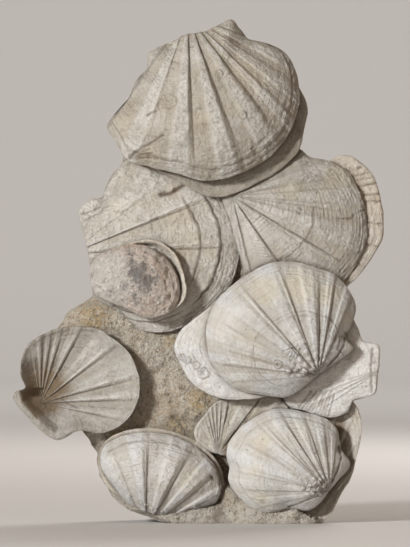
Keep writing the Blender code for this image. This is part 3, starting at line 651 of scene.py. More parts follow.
BOTTOM = Valve(
    "bottom_scallop",
    outline=[(129, 503), (112, 485), (102, 470), (101, 456), (106, 445), (120, 437), (140, 433.5),
             (160, 434), (180, 439), (198, 449), (210, 460), (218, 474), (220.5, 490), (215, 503),
             (190, 510), (158, 514)],
    heart=(160, 490), crown=(160, 472), beak=(146, 531),
    grooves=(110, 128.5, 150, 178, 202, 225), groove_strengths=(0.1, 0.5, 1.0, 0.9, 0.4, 0.1),
    level=42, lean=(0.03, -0.03), dome=20, rib=3.7, fill=4, beak_rise=4,
    growth=(16, 0.18), layer_shade=0.12, margin_layers=0.6, density=MIDDLING,
    bright=1.1, tint=WHITE, grit=1.4, feet=0.5,
    pale_and_lit_patches=((170, 470, 14, 0.3), (128, 480, 12, 0.25)),
    creams=((190, 480, 13, 0.4),),
    cracks=[
        (0.9, 0.8, 0.7, [(203, 455), (210, 462), (217, 470), (221, 490)]),
        (1.2, 1.4, 0.9, [(211, 477), (213.5, 480)]),
        (1.0, 1.0, 0.8, [(189, 510), (192, 511)]),
        (0.8, 0.5, 0.5, [(108, 452), (125, 443), (150, 440), (176, 445), (196, 455)]),
    ],
    rings=((155, 446, 2.0, 0.5),),
    beads=((146, 505.5, 2.3, 1.5), (151, 508.5, 2.2, 1.5), (156.5, 511, 2.0, 1.4), (162, 511.5, 1.8, 1.2),
           (141, 502, 1.8, 1.2)),
)
BOTTOM_LOWER = Valve(
    "bottom_scallop_lower_valve",
    outline=[(112, 492), (100, 474), (98, 460), (104, 444), (118, 434), (140, 429), (162, 430),
             (184, 436), (202, 446), (215, 459), (223, 476), (224, 490), (218, 504), (190, 508),
             (150, 510)],
    heart=(160, 470), beak=(146, 531),
    level=36, lean=(0.02, -0.03), rim=5, fill=3, growth=(8, 0.4), density=PLAIN,
    bright=1.18, grit=1.4, feet=0.2,
)
HOLLOW = Valve(
    "hollow_scallop",
    outline=[(14, 399), (16, 392), (25, 388), (21, 375), (22, 358), (28, 345), (41, 336), (60, 328.5),
             (95, 328.5), (110, 337), (127, 351), (136, 368), (139.5, 385), (137, 403), (128, 418),
             (112, 430), (98, 433), (78, 430), (68, 435.5), (58, 440), (48, 436), (30, 419)],
    heart=(58, 388), crown=(56, 388), beak=(40, 404),
    grooves=(78, 92, 104.3, 126.3, 150.4, 162.7, 170.5, 178, 186),
    groove_strengths=(0.4, 0.55, 0.7, 0.7, 0.65, 0.5, 0.45, 0.4, 0.3), ridge=(3.2, 2.5),
    level=43, lean=(-0.03, 0.01), dome=-21, rib=2.1, hollow=True,
    lip=(2.4, 11.0, [(15, 394), (18, 405), (31, 419), (44, 432), (56, 439), (68, 435)]),
    growth=(9, 0.15), layer_shade=0.1, margin_layers=0.5, density=MIDDLING,
    bright=0.785, tint=PEARL, grit=1.5, feet=0.4,
    # Painted shade in the hollow by the beak
    stains_and_shade=((46, 386, 23, 1.0), (38, 399, 21, 1.0), (34, 374, 15, 0.75)),
    # The first pale patch is painted light on the lit left wall
    pale_and_lit_patches=((30, 352, 9, 0.5), (95, 350, 16, 0.2)),
    cracks=[(1.0, 0.7, 0.7, [(31, 410), (37, 418)]), (0.9, 0.5, 0.5, [(62, 400), (68, 405), (80, 409)])],
)
VALVES = (TOP, TOP_LOWER, LEFT, OYSTER, OYSTER_LOWER, RIGHT, RIGHT_LOWER, MIDDLE, MIDDLE_LOWER, HINGE,
          TUCKED, CORNER, BACK, BOTTOM, BOTTOM_LOWER, HOLLOW)

# The matrix block's left and right edges from the base up, in view pixels
MATRIX_LEFT = [(164, 523.5), (150, 518.5), (128, 511), (114, 499), (108, 488), (101, 476), (98, 466),
               (97, 454), (88, 440), (80, 429), (66, 415), (52, 395), (46, 372), (47, 352), (56, 329),
               (70, 312), (86, 303), (95, 296), (94, 240), (98, 215), (105, 198), (124, 160),
               (130, 138), (142, 106), (155, 80), (172, 58), (196, 46)]
MATRIX_RIGHT = [(323, 523.5), (328, 512), (336, 497), (346, 478), (353, 462), (357, 440), (355, 420),
                (351, 402), (360, 385), (362, 350), (350, 333), (348, 310), (347, 288), (354, 268),
                (364, 245), (366, 220), (362, 195), (352, 175), (335, 164), (312, 160), (298, 148),
                (296, 125), (292, 100), (284, 78), (270, 62), (250, 52), (225, 46)]

# Its open ground, as spots in view pixels with their depths, and how fast a spot's pull falls off
GROUND = [(150, 345, 25), (160, 380, 23), (150, 415, 21), (105, 318, 27), (65, 320, 22), (195, 408, 25),
          (200, 432, 19), (90, 442, 22), (180, 426, 21), (250, 518, 48), (205, 518, 46), (300, 518, 50),
          (130, 509, 34), (225, 470, 20), (232, 503, 40), (180, 516, 43), (345, 300, 26), (352, 338, 26),
          (170, 150, 38), (250, 110, 42)]
GROUND_FALLOFF = 3.0

# Its mesh: view pixels between levels, and points across the front and round the back
ROW_STEP = 1.9
ACROSS_FRONT = 180
ROUND_BACK = 76

# Its lumps, as height and size in millimetres, and a share of both for the finer lumps on them
LUMP = 2.6
LUMP_SIZE = 34.0
FINE_LUMP = 0.5
FINE_LUMP_SIZE = 0.4
BACK_LUMP = 7.0
BACK_LUMP_SIZE = 85.0

# The front's fall towards its edges, and how it runs in behind the valves that cover it
EDGE_ROUNDING = 9.0
EDGE_START = 0.86
COVERED = 0.985
SKIN_INSIDE_VALVE = 1.6
UNDERCUT_SHARE = 0.25
FILL_LIMIT = 14.0

# The back: how deep it is at the base and the top, and how round
BACK_DEPTH_LOW = 62.0
BACK_DEPTH_HIGH = 40.0
TOP_ROUNDING = 0.2
TOP_LIMIT = 0.98
BACK_ROUND = 25.0
BACK_SQUARENESS = 0.85
BACK_FULLNESS = 0.7

# Its crack, how deep it is, its ochre patches and its pale patches in view pixels, two of the pale ones
# painted light where the valves above shade the stone, and the height up to which it is pale
CRACK_DEPTH = 2.2
MATRIX_CRACK = [(173, 418), (179, 423), (184, 431), (190, 437)]
OCHRE_SPOTS = ((200, 402, 15), (93, 318, 17), (172, 340, 10), (120, 434, 12), (176, 425, 9), (196, 436, 8))
# The last two are painted light on stone that the valves above shade
PALE_AND_LIT_STONE = ((106, 468, 12, 0.8), (118, 494, 14, 1.0), (138, 514, 14, 1.0), (210, 505, 16, 0.8),
              (240, 492, 12, 0.7), (165, 322, 16, 0.7), (150, 345, 12, 0.5))
SAWN_RISE = 17.0

# How far behind the base's middle the front's painted shade and patches go, in millimetres
FRONT_LIMIT = 5.0

# Growth layers: where in a layer its rise ends and its outer edge falls, and how far it varies
LAYER_TOP = 0.82
LAYER_LEAST = 0.55

# Riblets along the ribs: their height, and how many on a rib
STRIA = 0.05
STRIAE_PER_RIB = 5

# Weathering, as height and size in millimetres of its broad, uneven and fine parts
BROAD_WEAR = (0.7, 26)
UNEVEN_WEAR = (0.26, 7.5)
FINE_WEAR = (0.17, 2.7)

# Knobs at the beak: how many to a whole rib, and the reach at which they have ended
KNOBS_PER_RIB = 15
KNOBS_END = 0.36

# Ring marks: how uneven they are, the hollow inside as a share of the radius, and in view pixels the half
# width of the ring and of the painted shadow line round it, and the gap between them
RING_UNEVEN = 0.16
RING_HOLLOW = 0.6
RING_HALF = 0.9
RING_LINE_HALF = 0.7
RING_GAP = 1.3

# The painted shadow line round a knob, as shares of its radius: where it lies and its half width
BEAD_LINE = 1.15
BEAD_LINE_HALF = 0.25

# The cut along a groove, the raised lip before a growth step as a share of its drop, how far the surface
# lies under the plain form, and how far it falls at the margin, from the last value's share of the way out
GROOVE_CUT = 0.55
LIP_RISE = 0.3
SURFACE_SINK = 0.6
EDGE_DROP = 0.9
EDGE_FALL = 0.965

# Thin layers at a margin: where they end, their half width as reach, and both their depth and the darkness
# of the painted shade in them
LAMELLAE = (0.90, 0.93, 0.952, 0.972)
LAMELLA_HALF = 0.004
LAMELLA_DEPTH = 0.35

# The oyster's growth: the height of its sheets, the depth of its pits, and their greater depth lower right
SHEETS = 1.3
PITS = 0.8
MORE_PITS = 1.2

# How far the edge of the oyster's lower valve stands up and from which share of the way out, and the spot
# right of which the oyster is most pitted
OYSTER_RIM = 6.0
OYSTER_RIM_START = 0.86
PITTED_FROM = (150, 280)


def pixels_from(spot, points):
    """Distance of each point from a spot of the view, in view pixels."""
    return np.linalg.norm(points - front_view(spot), axis=1) / PIXEL


def bell(x):
    """1 at 0, and soon nothing on both sides of it."""
    return np.exp(-(x**2))


def layer_place(valve, points):
    """How many growth layers lie between the beak and each point."""
    reach = valve.reach(points) if len(valve.grooves) else valve.from_heart.share(points)
    wander = 0.9 * noise(valve.rib_angle(points) / 16, reach * 3) + 0.5 * noise(reach * 9 + 5)
    return reach * valve.growth[0] + wander


def growth_lines(valve, points):
    """Thin overlapping growth layers, each with a soft rise and a sharp outer edge."""
    phase = layer_place(valve, points)
    tooth = phase - np.floor(phase)
    layer = np.where(tooth < LAYER_TOP, tooth / LAYER_TOP, (1 - tooth) / (1 - LAYER_TOP))
    uneven = noise(np.floor(phase) * 0.37 + 3, valve.rib_angle(points) / 40)
    strength = LAYER_LEAST + (1 - LAYER_LEAST) * uneven
    return valve.growth[1] * layer * strength * ease(valve.reach(points) / 0.3)


def striae(valve, points, reach, angle):
    """Fine riblets that run along the ribs."""
    if len(valve.grooves) < 2:
        return np.zeros(len(points))
    across, width, _ = valve.across_rib(points)
    wave = np.sin(2 * np.pi * (across * STRIAE_PER_RIB + 0.2 * noise(angle / 7, reach * 4)))
    return STRIA * wave * ease((reach - 0.25) / 0.3) * np.clip(width / 12, 0.3, 1)


def beak_knobs(valve, points, reach):
    """Knobs along the ribs near the beak."""
    if not valve.knobs:
        return np.zeros(len(points))
    across, _, index = valve.across_rib(points)
    on_rib = np.sin(np.pi * across) ** 1.5
    beads = np.sin(2 * np.pi * reach * KNOBS_PER_RIB + 2.2 * index) * 0.5 + 0.5
    return valve.knobs * on_rib * beads * ease((KNOBS_END - reach) / 0.2) * ease(reach / 0.04)


def wear(valve, points, reach):
    """Uneven weathering all over, with more at the margin."""
    x, z = points.T

    def part(height, size, octaves, shift_x=0.0, shift_z=0.0):
        return height * rough(x / size + shift_x, z / size + shift_z, octaves=octaves)

    broad = part(*BROAD_WEAR, 3, shift_x=valve.level)
    uneven = part(*UNEVEN_WEAR, 3, shift_z=valve.level)
    fine = part(*FINE_WEAR, 2, shift_z=valve.level)
    return broad + valve.grit * (uneven + fine * (1 + ease((reach - 0.8) / 0.2)))


def marks(valve, points):
    """Cracks, chips, ring marks and knobs: their height and the darkness of the painted shade in and round
    them.
    """
    height, dark = np.zeros(len(points)), np.zeros(len(points))
    x, z = points.T
    wobble = 0.5 * noise(x / 3, z / 3)
    for width, depth, shade, line in valve.cracks:
        near = bell((gap_to_line(points, line) + wobble * width) / width)
        height -= depth * near
        dark = np.maximum(dark, shade * near)
    for u, v, radius, rise in valve.rings:
        away = pixels_from((u, v), points) * (1 + RING_UNEVEN * noise(x / 2.5 + u, z / 2.5))
        inside = bell(away / radius / RING_HOLLOW)
        height += rise * bell((away - radius) / RING_HALF) - 0.7 * rise * inside
        shade = min(1.0, rise)
        dark = np.maximum(dark, 0.4 * shade * inside)
        dark = np.maximum(dark, 0.7 * shade * bell((away - radius - RING_GAP) / RING_LINE_HALF))
    for u, v, radius, rise in valve.beads:
        away = pixels_from((u, v), points) / radius + 0.3 * noise(x / 2.2 + u, z / 2.2)
        height += rise * np.sqrt(np.clip(1 - away**2, 0, 1))
        dark = np.maximum(dark, 0.5 * bell((away - BEAD_LINE) / BEAD_LINE_HALF))
    return height, dark


def own_relief(valve, points, reach, angle, q):
    """What lies on the plain form: layers, riblets, knobs and wear, and what only some valves have."""
    extra = growth_lines(valve, points) + striae(valve, points, reach, angle)
    extra = extra + beak_knobs(valve, points, reach) + wear(valve, points, reach)
    if valve is OYSTER:
        extra = extra + crags(points, q, angle)
    if valve is OYSTER_LOWER:
        extra = extra + OYSTER_RIM * ease((q - OYSTER_RIM_START) / 0.08) * (1 + 0.2 * noise(angle / 7))
    if valve.crust:
        u, v, radius, rise = valve.crust
        grains = np.clip(noise(points[:, 0] / 1.5, points[:, 1] / 1.5) + 0.1, 0, 1)
        extra = extra + rise * grains * ease(1.4 - pixels_from((u, v), points) / radius)
    return extra


def relief(valve, points):
    """Depth of the finished front surface, and the painted shade in its grooves, cracks, marks and thin
    layers.
    """
    reach = valve.reach(points)
    angle = valve.rib_angle(points)
    q = np.clip(valve.from_heart.share(points), 0, 1)
    cut, dark = marks(valve, points)
    groove = valve.groove_mark(points) * ease((reach - 0.05) / 0.1) * (1 - 0.6 * ease((reach - 0.7) / 0.25))
    groove = groove * (0.75 + 0.25 * noise(angle / 9, reach * 5))
    depth = valve.front(points) + own_relief(valve, points, reach, angle, q) + cut
    depth = depth - GROOVE_CUT * groove - SURFACE_SINK
    lip = valve.ragged_reach(points)
    for place, drop in valve.steps:
        raised = valve.step_share(points) * bell((lip - place + STEP_LENGTH) / 0.01)
        depth = depth + LIP_RISE * drop * raised
    depth = depth - EDGE_DROP * ease((q - EDGE_FALL) / (1 - EDGE_FALL))
    # Painted shade in the cracks, ring and knob marks, and grooves
    painted_shade = np.maximum(dark, 0.7 * groove)
    # Thin layers at the margin: cut in, with painted shade in them
    for place in LAMELLAE:
        broken = ease((noise(angle / 8 + 90 * place, reach * 2) + 0.25) / 0.3)
        gap = reach - place - 0.012 * noise(angle / 7 + 40 * place)
        lamella = bell(gap / LAMELLA_HALF) * broken * valve.margin_layers
        depth = depth - LAMELLA_DEPTH * lamella
        painted_shade = np.maximum(painted_shade, LAMELLA_DEPTH * lamella)
    return depth, np.clip(painted_shade, 0, 1)


def patches(places, points):
    """The strength at each point of soft patches with ragged edges."""
    total = np.zeros(len(points))
    ragged = 0.25 * noise(points[:, 0] / 8, points[:, 1] / 8)
    for u, v, radius, strength in places:
        total = np.maximum(total, strength * ease(1.45 - pixels_from((u, v), points) / radius + ragged))
    return total


def stain(valve, points):
    """Soft brown patches of stain and of painted shade in hollows and recesses, which end at the lip round a
    hollow.
    """
    total = patches(valve.stains_and_shade, points)
    if valve.lip:
        width, _, line = valve.lip
        total = total * ease((gap_to_line(points, line) / PIXEL - width) / 4)
    return total


def crags(points, q, angle):
    """The oyster's rough growth: sharp wandering ridges round it, lumps and pits."""
    x, z = points.T
    turn = np.radians(angle)
    sheets = 1 - np.abs(rough(2.2 * np.cos(turn), 2.2 * np.sin(turn), q * 9, octaves=3))
    pits = np.clip(noise(x / 3.1 + 40, z / 3.1) - 0.25, 0, 1)
    lumpy = 1.5 * rough(x / 9, z / 9, octaves=4) + 0.6 * (1 - np.abs(rough(x / 4, z / 4, octaves=3)))
    low_right = ease((x - front_view(PITTED_FROM)[0]) / 12)
    return lumpy + SHEETS * sheets * ease((q - 0.15) / 0.4) - (PITS + MORE_PITS * low_right) * pits


def shade_from_above(points, level):
    """Painted shade beside the valves that lie above this level, in the angle where they meet."""
    shade = np.zeros(len(points))
    for valve in VALVES:
        if valve.level > level:
            share = valve.from_heart.share(points)
            away = (share - 1) * np.linalg.norm(points - valve.heart, axis=1) / np.maximum(share, 0.01)
            shade = np.maximum(shade, np.where(share > 0.9, np.exp(-np.maximum(away, 0) / 2.2), 1.0))
    return shade


# Meshes. A loop is a closed row of points, each to the right, up and towards the viewer.
def closed_mesh(name, loops, tips):
    """A mesh over the loops, closed by a tip before the first and one after the last, and its points."""
    places = np.vstack([*loops, *tips])
    points = np.column_stack([places[:, 0], -places[:, 2], places[:, 1]])
    around, count = len(loops[0]), len(loops)
    quads = ring_quads(count, around)
    k = np.arange(around)
    n = (k + 1) % around
    end = (count - 1) * around
    caps = [np.column_stack([np.full(around, count * around), n, k]),
            np.column_stack([np.full(around, count * around + 1), end + k, end + n])]
    quads, caps = outward(points, quads, caps)
    mesh = bpy.data.meshes.new(name)
    mesh.vertices.add(len(points))
    mesh.vertices.foreach_set("co", (points * METRES).ravel())
    corners = np.concatenate([face.ravel() for face in (quads, *caps)])
    sizes = np.concatenate([np.full(len(quads), 4), np.full(2 * around, 3)])
    mesh.loops.add(len(corners))
    mesh.loops.foreach_set("vertex_index", corners.astype(np.int32))
    mesh.polygons.add(len(sizes))
    mesh.polygons.foreach_set("loop_start", np.concatenate([[0], np.cumsum(sizes)[:-1]]).astype(np.int32))
    mesh.update(calc_edges=True)
    mesh.validate()
    mesh.shade_smooth()
    return mesh, places


def ring_quads(rings, around):
    """The faces between neighbouring loops, as numbers of their points."""
    ring, k = np.meshgrid(np.arange(rings - 1) * around, np.arange(around), indexing="ij")
    n = (k + 1) % around
    return np.stack([ring + k, ring + n, ring + around + n, ring + around + k], axis=-1).reshape(-1, 4)


def outward(points, quads, caps):
    """The faces turned so that they all face out of the closed mesh."""
    flat = np.concatenate([quads[:, [0, 1, 2]], quads[:, [0, 2, 3]], *caps])
    a, b, c = (points[flat[:, k]] for k in range(3))
    if np.einsum("ij,ij->i", a, np.cross(b, c)).sum() > 0:
        return quads, caps
    return quads[:, ::-1], [cap[:, ::-1] for cap in caps]


def placed(name, data):
    """An object with these data, put in the scene."""
    thing = bpy.data.objects.new(name, data)
    bpy.context.scene.collection.objects.link(thing)
    return thing


def piece_from(name, mesh, material, values):
    """A piece in place of the CAD's node, with values on its points that its material reads."""
    for key, value in values.items():
        layer = mesh.attributes.new(key, "FLOAT", "POINT")
        layer.data.foreach_set("value", np.ascontiguousarray(value, dtype=np.float32))
    mesh.materials.append(material)
    piece = placed(name + "_relief", mesh)
    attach(piece, "root")
    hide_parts(name)


def ring_shares(count):
    """Shares of the way out, closer together near the margin."""
    t = np.linspace(0, 1, count + 1)[1:]
    return 1 - (1 - t) ** 1.25


def rippled_margin(valve, around):
    """The margin as evenly spaced points with a small ripple, and the way out at each."""
    margin = evenly(valve.curve, around)
    ripple = 0.35 * rough(valve.rib_angle(margin) / 5, margin[:, 0] / 40, octaves=3)
    out = margin - valve.heart
    out = out / np.linalg.norm(out, axis=1, keepdims=True)
    return margin + out * ripple[:, None], out


def valve_piece(valve, material):
    """One valve: rings out over its front, round its edge and in again over its back."""
    around, rows = valve.density
    margin, out = rippled_margin(valve, around)
    rings, painted_shades = [], []
    for share in ring_shares(rows):
        ring = valve.ring(margin, share)
        depth, painted_shade = relief(valve, ring)
        rings.append(np.column_stack([ring, depth]))
        # Painted shade from the relief, and beside the valves that lie above
        painted_shades.append(np.maximum(painted_shade, valve.contact_shade * shade_from_above(ring, valve.level)))
    edge_depth = rings[-1][:, 2]
    back_edge_depth = valve.front(margin) - valve.rim
    for k in range(1, RIM_ROWS + 1):
        share = k / RIM_ROWS
        bulge = 0.5 * math.sin(math.pi * share) + 0.25 * noise(margin[:, 0] / 5 + 9 * k, margin[:, 1] / 5)
        depth = edge_depth + (back_edge_depth - edge_depth) * share
        rings.append(np.column_stack([margin + out * bulge[:, None], depth]))
        # Painted shade on the edge, darker towards the back
        painted_shades.append(np.full(around, 0.25 + 0.35 * share))
    for share in ring_shares(HOLLOW_BACK_ROWS if valve.hollow else BACK_ROWS)[::-1][1:]:
        ring = valve.ring(margin, share)
        depth = np.minimum(valve.back(ring), valve.front(ring) - valve.rim)
        if valve.hollow:
            depth = depth + 0.8 * valve.ribs(ring) + growth_lines(valve, ring)
        rings.append(np.column_stack([ring, depth]))
        # Painted shade on the back
        painted_shades.append(np.full(around, 0.5))
    heart = valve.heart[None]
    tips = [[*valve.heart, relief(valve, heart)[0][0]], [*valve.heart, valve.back(heart)[0]]]
    mesh, places = closed_mesh(valve.name, rings, tips)
    plan = places[:, :2]
    piece_from(valve.name, mesh, material, {
        # Painted shade, read by the material
        "painted_shade": np.concatenate([*painted_shades, [0, 0]]),
        "rib_angle": valve.rib_angle(plan),
        "crest": valve.crest_share(plan),
        "reach": valve.reach(plan) if len(valve.grooves) else valve.from_heart.share(plan),
        "ragged_reach": valve.ragged_reach(plan),
        "step_share": valve.step_share(plan),
        # Brown stains and painted shade in hollows and recesses
        "stain": stain(valve, plan),
        # Pale worn patches and painted light on lit faces
        "pale": patches(valve.pale_and_lit_patches, plan),
        "cream": patches(valve.creams, plan),
        "layer": layer_place(valve, plan),
    })


def ground_depth(points):
    """Depth of the open matrix, from the chosen spots."""
    spots = np.array(GROUND, float)
    places = front_view(spots[:, :2])
    gap = np.linalg.norm(points[:, None] - places[None], axis=2) + 1.0
    weight = gap**-GROUND_FALLOFF
    return (weight * spots[:, 2]).sum(1) / weight.sum(1)


def lumps(x, y, z):
    """Natural unevenness of the stone, in millimetres."""
    places = [Vector(p) for p in np.column_stack(np.broadcast_arrays(x, y, z)) / LUMP_SIZE]
    broad = np.array([stone_noise(p) + FINE_LUMP * stone_noise(p / FINE_LUMP_SIZE) for p in places])
    grit = 1.4 * rough(x / 8.5, y / 8.5, z / 8.5, octaves=4)
    creases = np.abs(rough(x / 13 + 9, y / 13, z / 13, octaves=3))
    return LUMP * broad + grit + 1.7 * creases - 0.8


def matrix_skin(points, edge_share):
    """Depth of the matrix front: open ground, or inside the lowest valve that covers the point."""
    depth = ground_depth(points) - EDGE_ROUNDING * ease((edge_share - EDGE_START) / (1 - EDGE_START))
    depth = depth + lumps(points[:, 0], np.zeros(len(points)), points[:, 1])
    depth = depth - CRACK_DEPTH * bell(gap_to_line(points, MATRIX_CRACK) / 1.4)
    lowest = np.full(len(points), np.inf)
    for valve in VALVES:
        share = valve.from_heart.share(points)
        level = np.minimum(valve.back(points) + SKIN_INSIDE_VALVE, depth + FILL_LIMIT)
        undercut = depth + (level - depth) * ease((COVERED - share) / UNDERCUT_SHARE)
        level = np.where(level > depth, undercut, level)
        lowest = np.minimum(lowest, np.where(share < COVERED, level, np.inf))
    return np.where(np.isfinite(lowest), lowest, depth)


def matrix_edge(side, v):
    """Where the matrix ends on one side at this level, in view pixels."""
    u, levels = np.array(side).T
    return np.interp(-v, -levels, u)


def matrix_row(v):
    """One level cut through the matrix, as a loop of points."""
    u = np.linspace(matrix_edge(MATRIX_LEFT, v), matrix_edge(MATRIX_RIGHT, v), ACROSS_FRONT)
    front = front_view(np.column_stack([u, np.full(ACROSS_FRONT, v)]))
    depth = matrix_skin(front, np.abs(np.linspace(-1, 1, ACROSS_FRONT)))
    up = front[0, 1]
    height_share = up / CLUSTER_HEIGHT
    top = np.clip((height_share - 1 + TOP_ROUNDING) / TOP_ROUNDING, 0, TOP_LIMIT)
    back_depth = BACK_DEPTH_LOW + (BACK_DEPTH_HIGH - BACK_DEPTH_LOW) * height_share
    back_depth = (back_depth + BACK_ROUND) * np.sqrt(1 - top**2) - BACK_ROUND
    middle = (front[0, 0] + front[-1, 0]) / 2
    half = (front[-1, 0] - front[0, 0]) / 2
    turn = np.pi * np.arange(1, ROUND_BACK + 1) / (ROUND_BACK + 1)
    side = np.sign(np.cos(turn)) * np.abs(np.cos(turn)) ** BACK_SQUARENESS
    edge = depth[-1] + (depth[0] - depth[-1]) * (1 - side) / 2
    fall = np.sin(turn) ** BACK_FULLNESS
    x = middle + half * side
    y = back_depth * fall - edge * (1 - fall)
    height = np.full(ROUND_BACK, up)
    places = np.column_stack([x, y, height]) / BACK_LUMP_SIZE
    uneven = lumps(x, y, height) + BACK_LUMP * np.array([stone_noise(Vector(p)) for p in places])
    back = np.column_stack([x + uneven * side, height, -(y + uneven * fall)])
    return np.vstack([np.column_stack([front, depth]), back])


def matrix_piece(material):
    """The block, as level loops from the sawn base up."""
    rows = np.arange(VIEW_BASE, MATRIX_LEFT[-1][1], -ROW_STEP)
    loops = [matrix_row(v) for v in rows]
    mesh, places = closed_mesh("matrix_block", loops, (loops[0].mean(0), loops[-1].mean(0)))
    plan = places[:, :2]
    crack = bell(gap_to_line(plan, MATRIX_CRACK) / 1.3)
    ochre = np.zeros(len(plan))
    for u, v, radius in OCHRE_SPOTS:
        ochre = np.maximum(ochre, ease(1.3 - pixels_from((u, v), plan) / radius))
    sawn = np.maximum(ease((SAWN_RISE - plan[:, 1]) / 6.0), patches(PALE_AND_LIT_STONE, plan))
    # Painted shade beside the valves and in the crack
    values = {"painted_shade": np.maximum(shade_from_above(plan, -math.inf) * 0.8, crack), "ochre": ochre, "sawn": sawn}
    front = places[:, 2] > -FRONT_LIMIT
    values = {key: np.where(front, value, 0.0) for key, value in values.items()}
    piece_from("matrix_block", mesh, material, values)


# Colours of the shells
SHELL_PALE = (0.70, 0.675, 0.62)
SHELL_CREAM = (0.63, 0.585, 0.505)
SHELL_LILAC = (0.61, 0.59, 0.57)
SHELL_CREST = (0.76, 0.735, 0.70)
SHELL_SHADE = (0.44, 0.405, 0.345)
SHELL_FOOT = (0.50, 0.44, 0.355)
SHELL_TAN = (0.47, 0.405, 0.315)
# Painted highlight beside the grooves
PAINTED_HIGHLIGHT = (0.86, 0.83, 0.79)
# Pale worn patches and painted light
PATCH_PALE_AND_LIT = (0.84, 0.81, 0.78)
PATCH_CREAM = (0.66, 0.59, 0.44)
# Painted shade in grooves, cracks, pits and marks
PAINTED_SHADE_BROWN = (0.15, 0.105, 0.068)
LAYER_BROWN = (0.30, 0.245, 0.18)
# Brown stains and painted shade in hollows
STAIN_AND_SHADE_BROWN = (0.235, 0.178, 0.12)
OCHRE = (0.58, 0.43, 0.24)

# Colours of the oyster
OYSTER_ROSE = (0.90, 0.72, 0.60)
OYSTER_WHITE = (1.0, 0.93, 0.85)
OYSTER_PATCH = (0.90, 0.84, 0.77)
OYSTER_PALE = (0.97, 0.94, 0.89)
OYSTER_GREY = (0.20, 0.195, 0.21)
OYSTER_SPECK = (0.40, 0.31, 0.24)

# Colours of the stone
STONE_TAN = (0.88, 0.745, 0.575)
STONE_CREAM = (0.99, 0.90, 0.765)
STONE_OCHRE = (0.86, 0.655, 0.39)
# Pale sawn stone, also used as painted light
STONE_PALE_AND_LIT = (0.99, 0.945, 0.86)
STONE_BLOTCH = (0.66, 0.52, 0.36)
STONE_GRAIN = (1.0, 0.96, 0.88)
STONE_SPECK = (0.42, 0.32, 0.21)
STONE_CRUMB = (0.36, 0.27, 0.17)

# The oyster's grey patch and pale side: places in view pixels, and radii and depth in metres
GREY_PATCH = (139, 277)
GREY_PATCH_RADIUS = 0.025
PALE_SIDE = (104, 278)
PALE_SIDE_RADIUS = 0.026
OYSTER_DEPTH = 0.068

# Thin lines of the ribs: half width and room beyond the outer grooves in degrees, and the side the light
# comes from, on which the painted highlight beside each groove lies
LINE_HALF = 0.4
LINE_ROOM = 5
LIT_SIDE = (-0.91, 0.42)

# Where the painted shadow line of a growth step starts after the step's place and ends after its foot, as
# reach
STEP_LINE_START = 0.002
STEP_LINE_FADE = 0.008

# How far each valve's noise is moved for each millimetre of its level
NOISE_SHIFT = 0.37

# The chalky surface: cells of its uneven dullness to a metre, and the little that it shines
CHALK_GRAIN = 260.0
CHALK_SHINE = 0.18

# Places of the mix node's share and two colours among its inputs, and of the mixed colour among its outputs
MIX_INPUTS = (0, 6, 7)
MIX_OUTPUT = 2


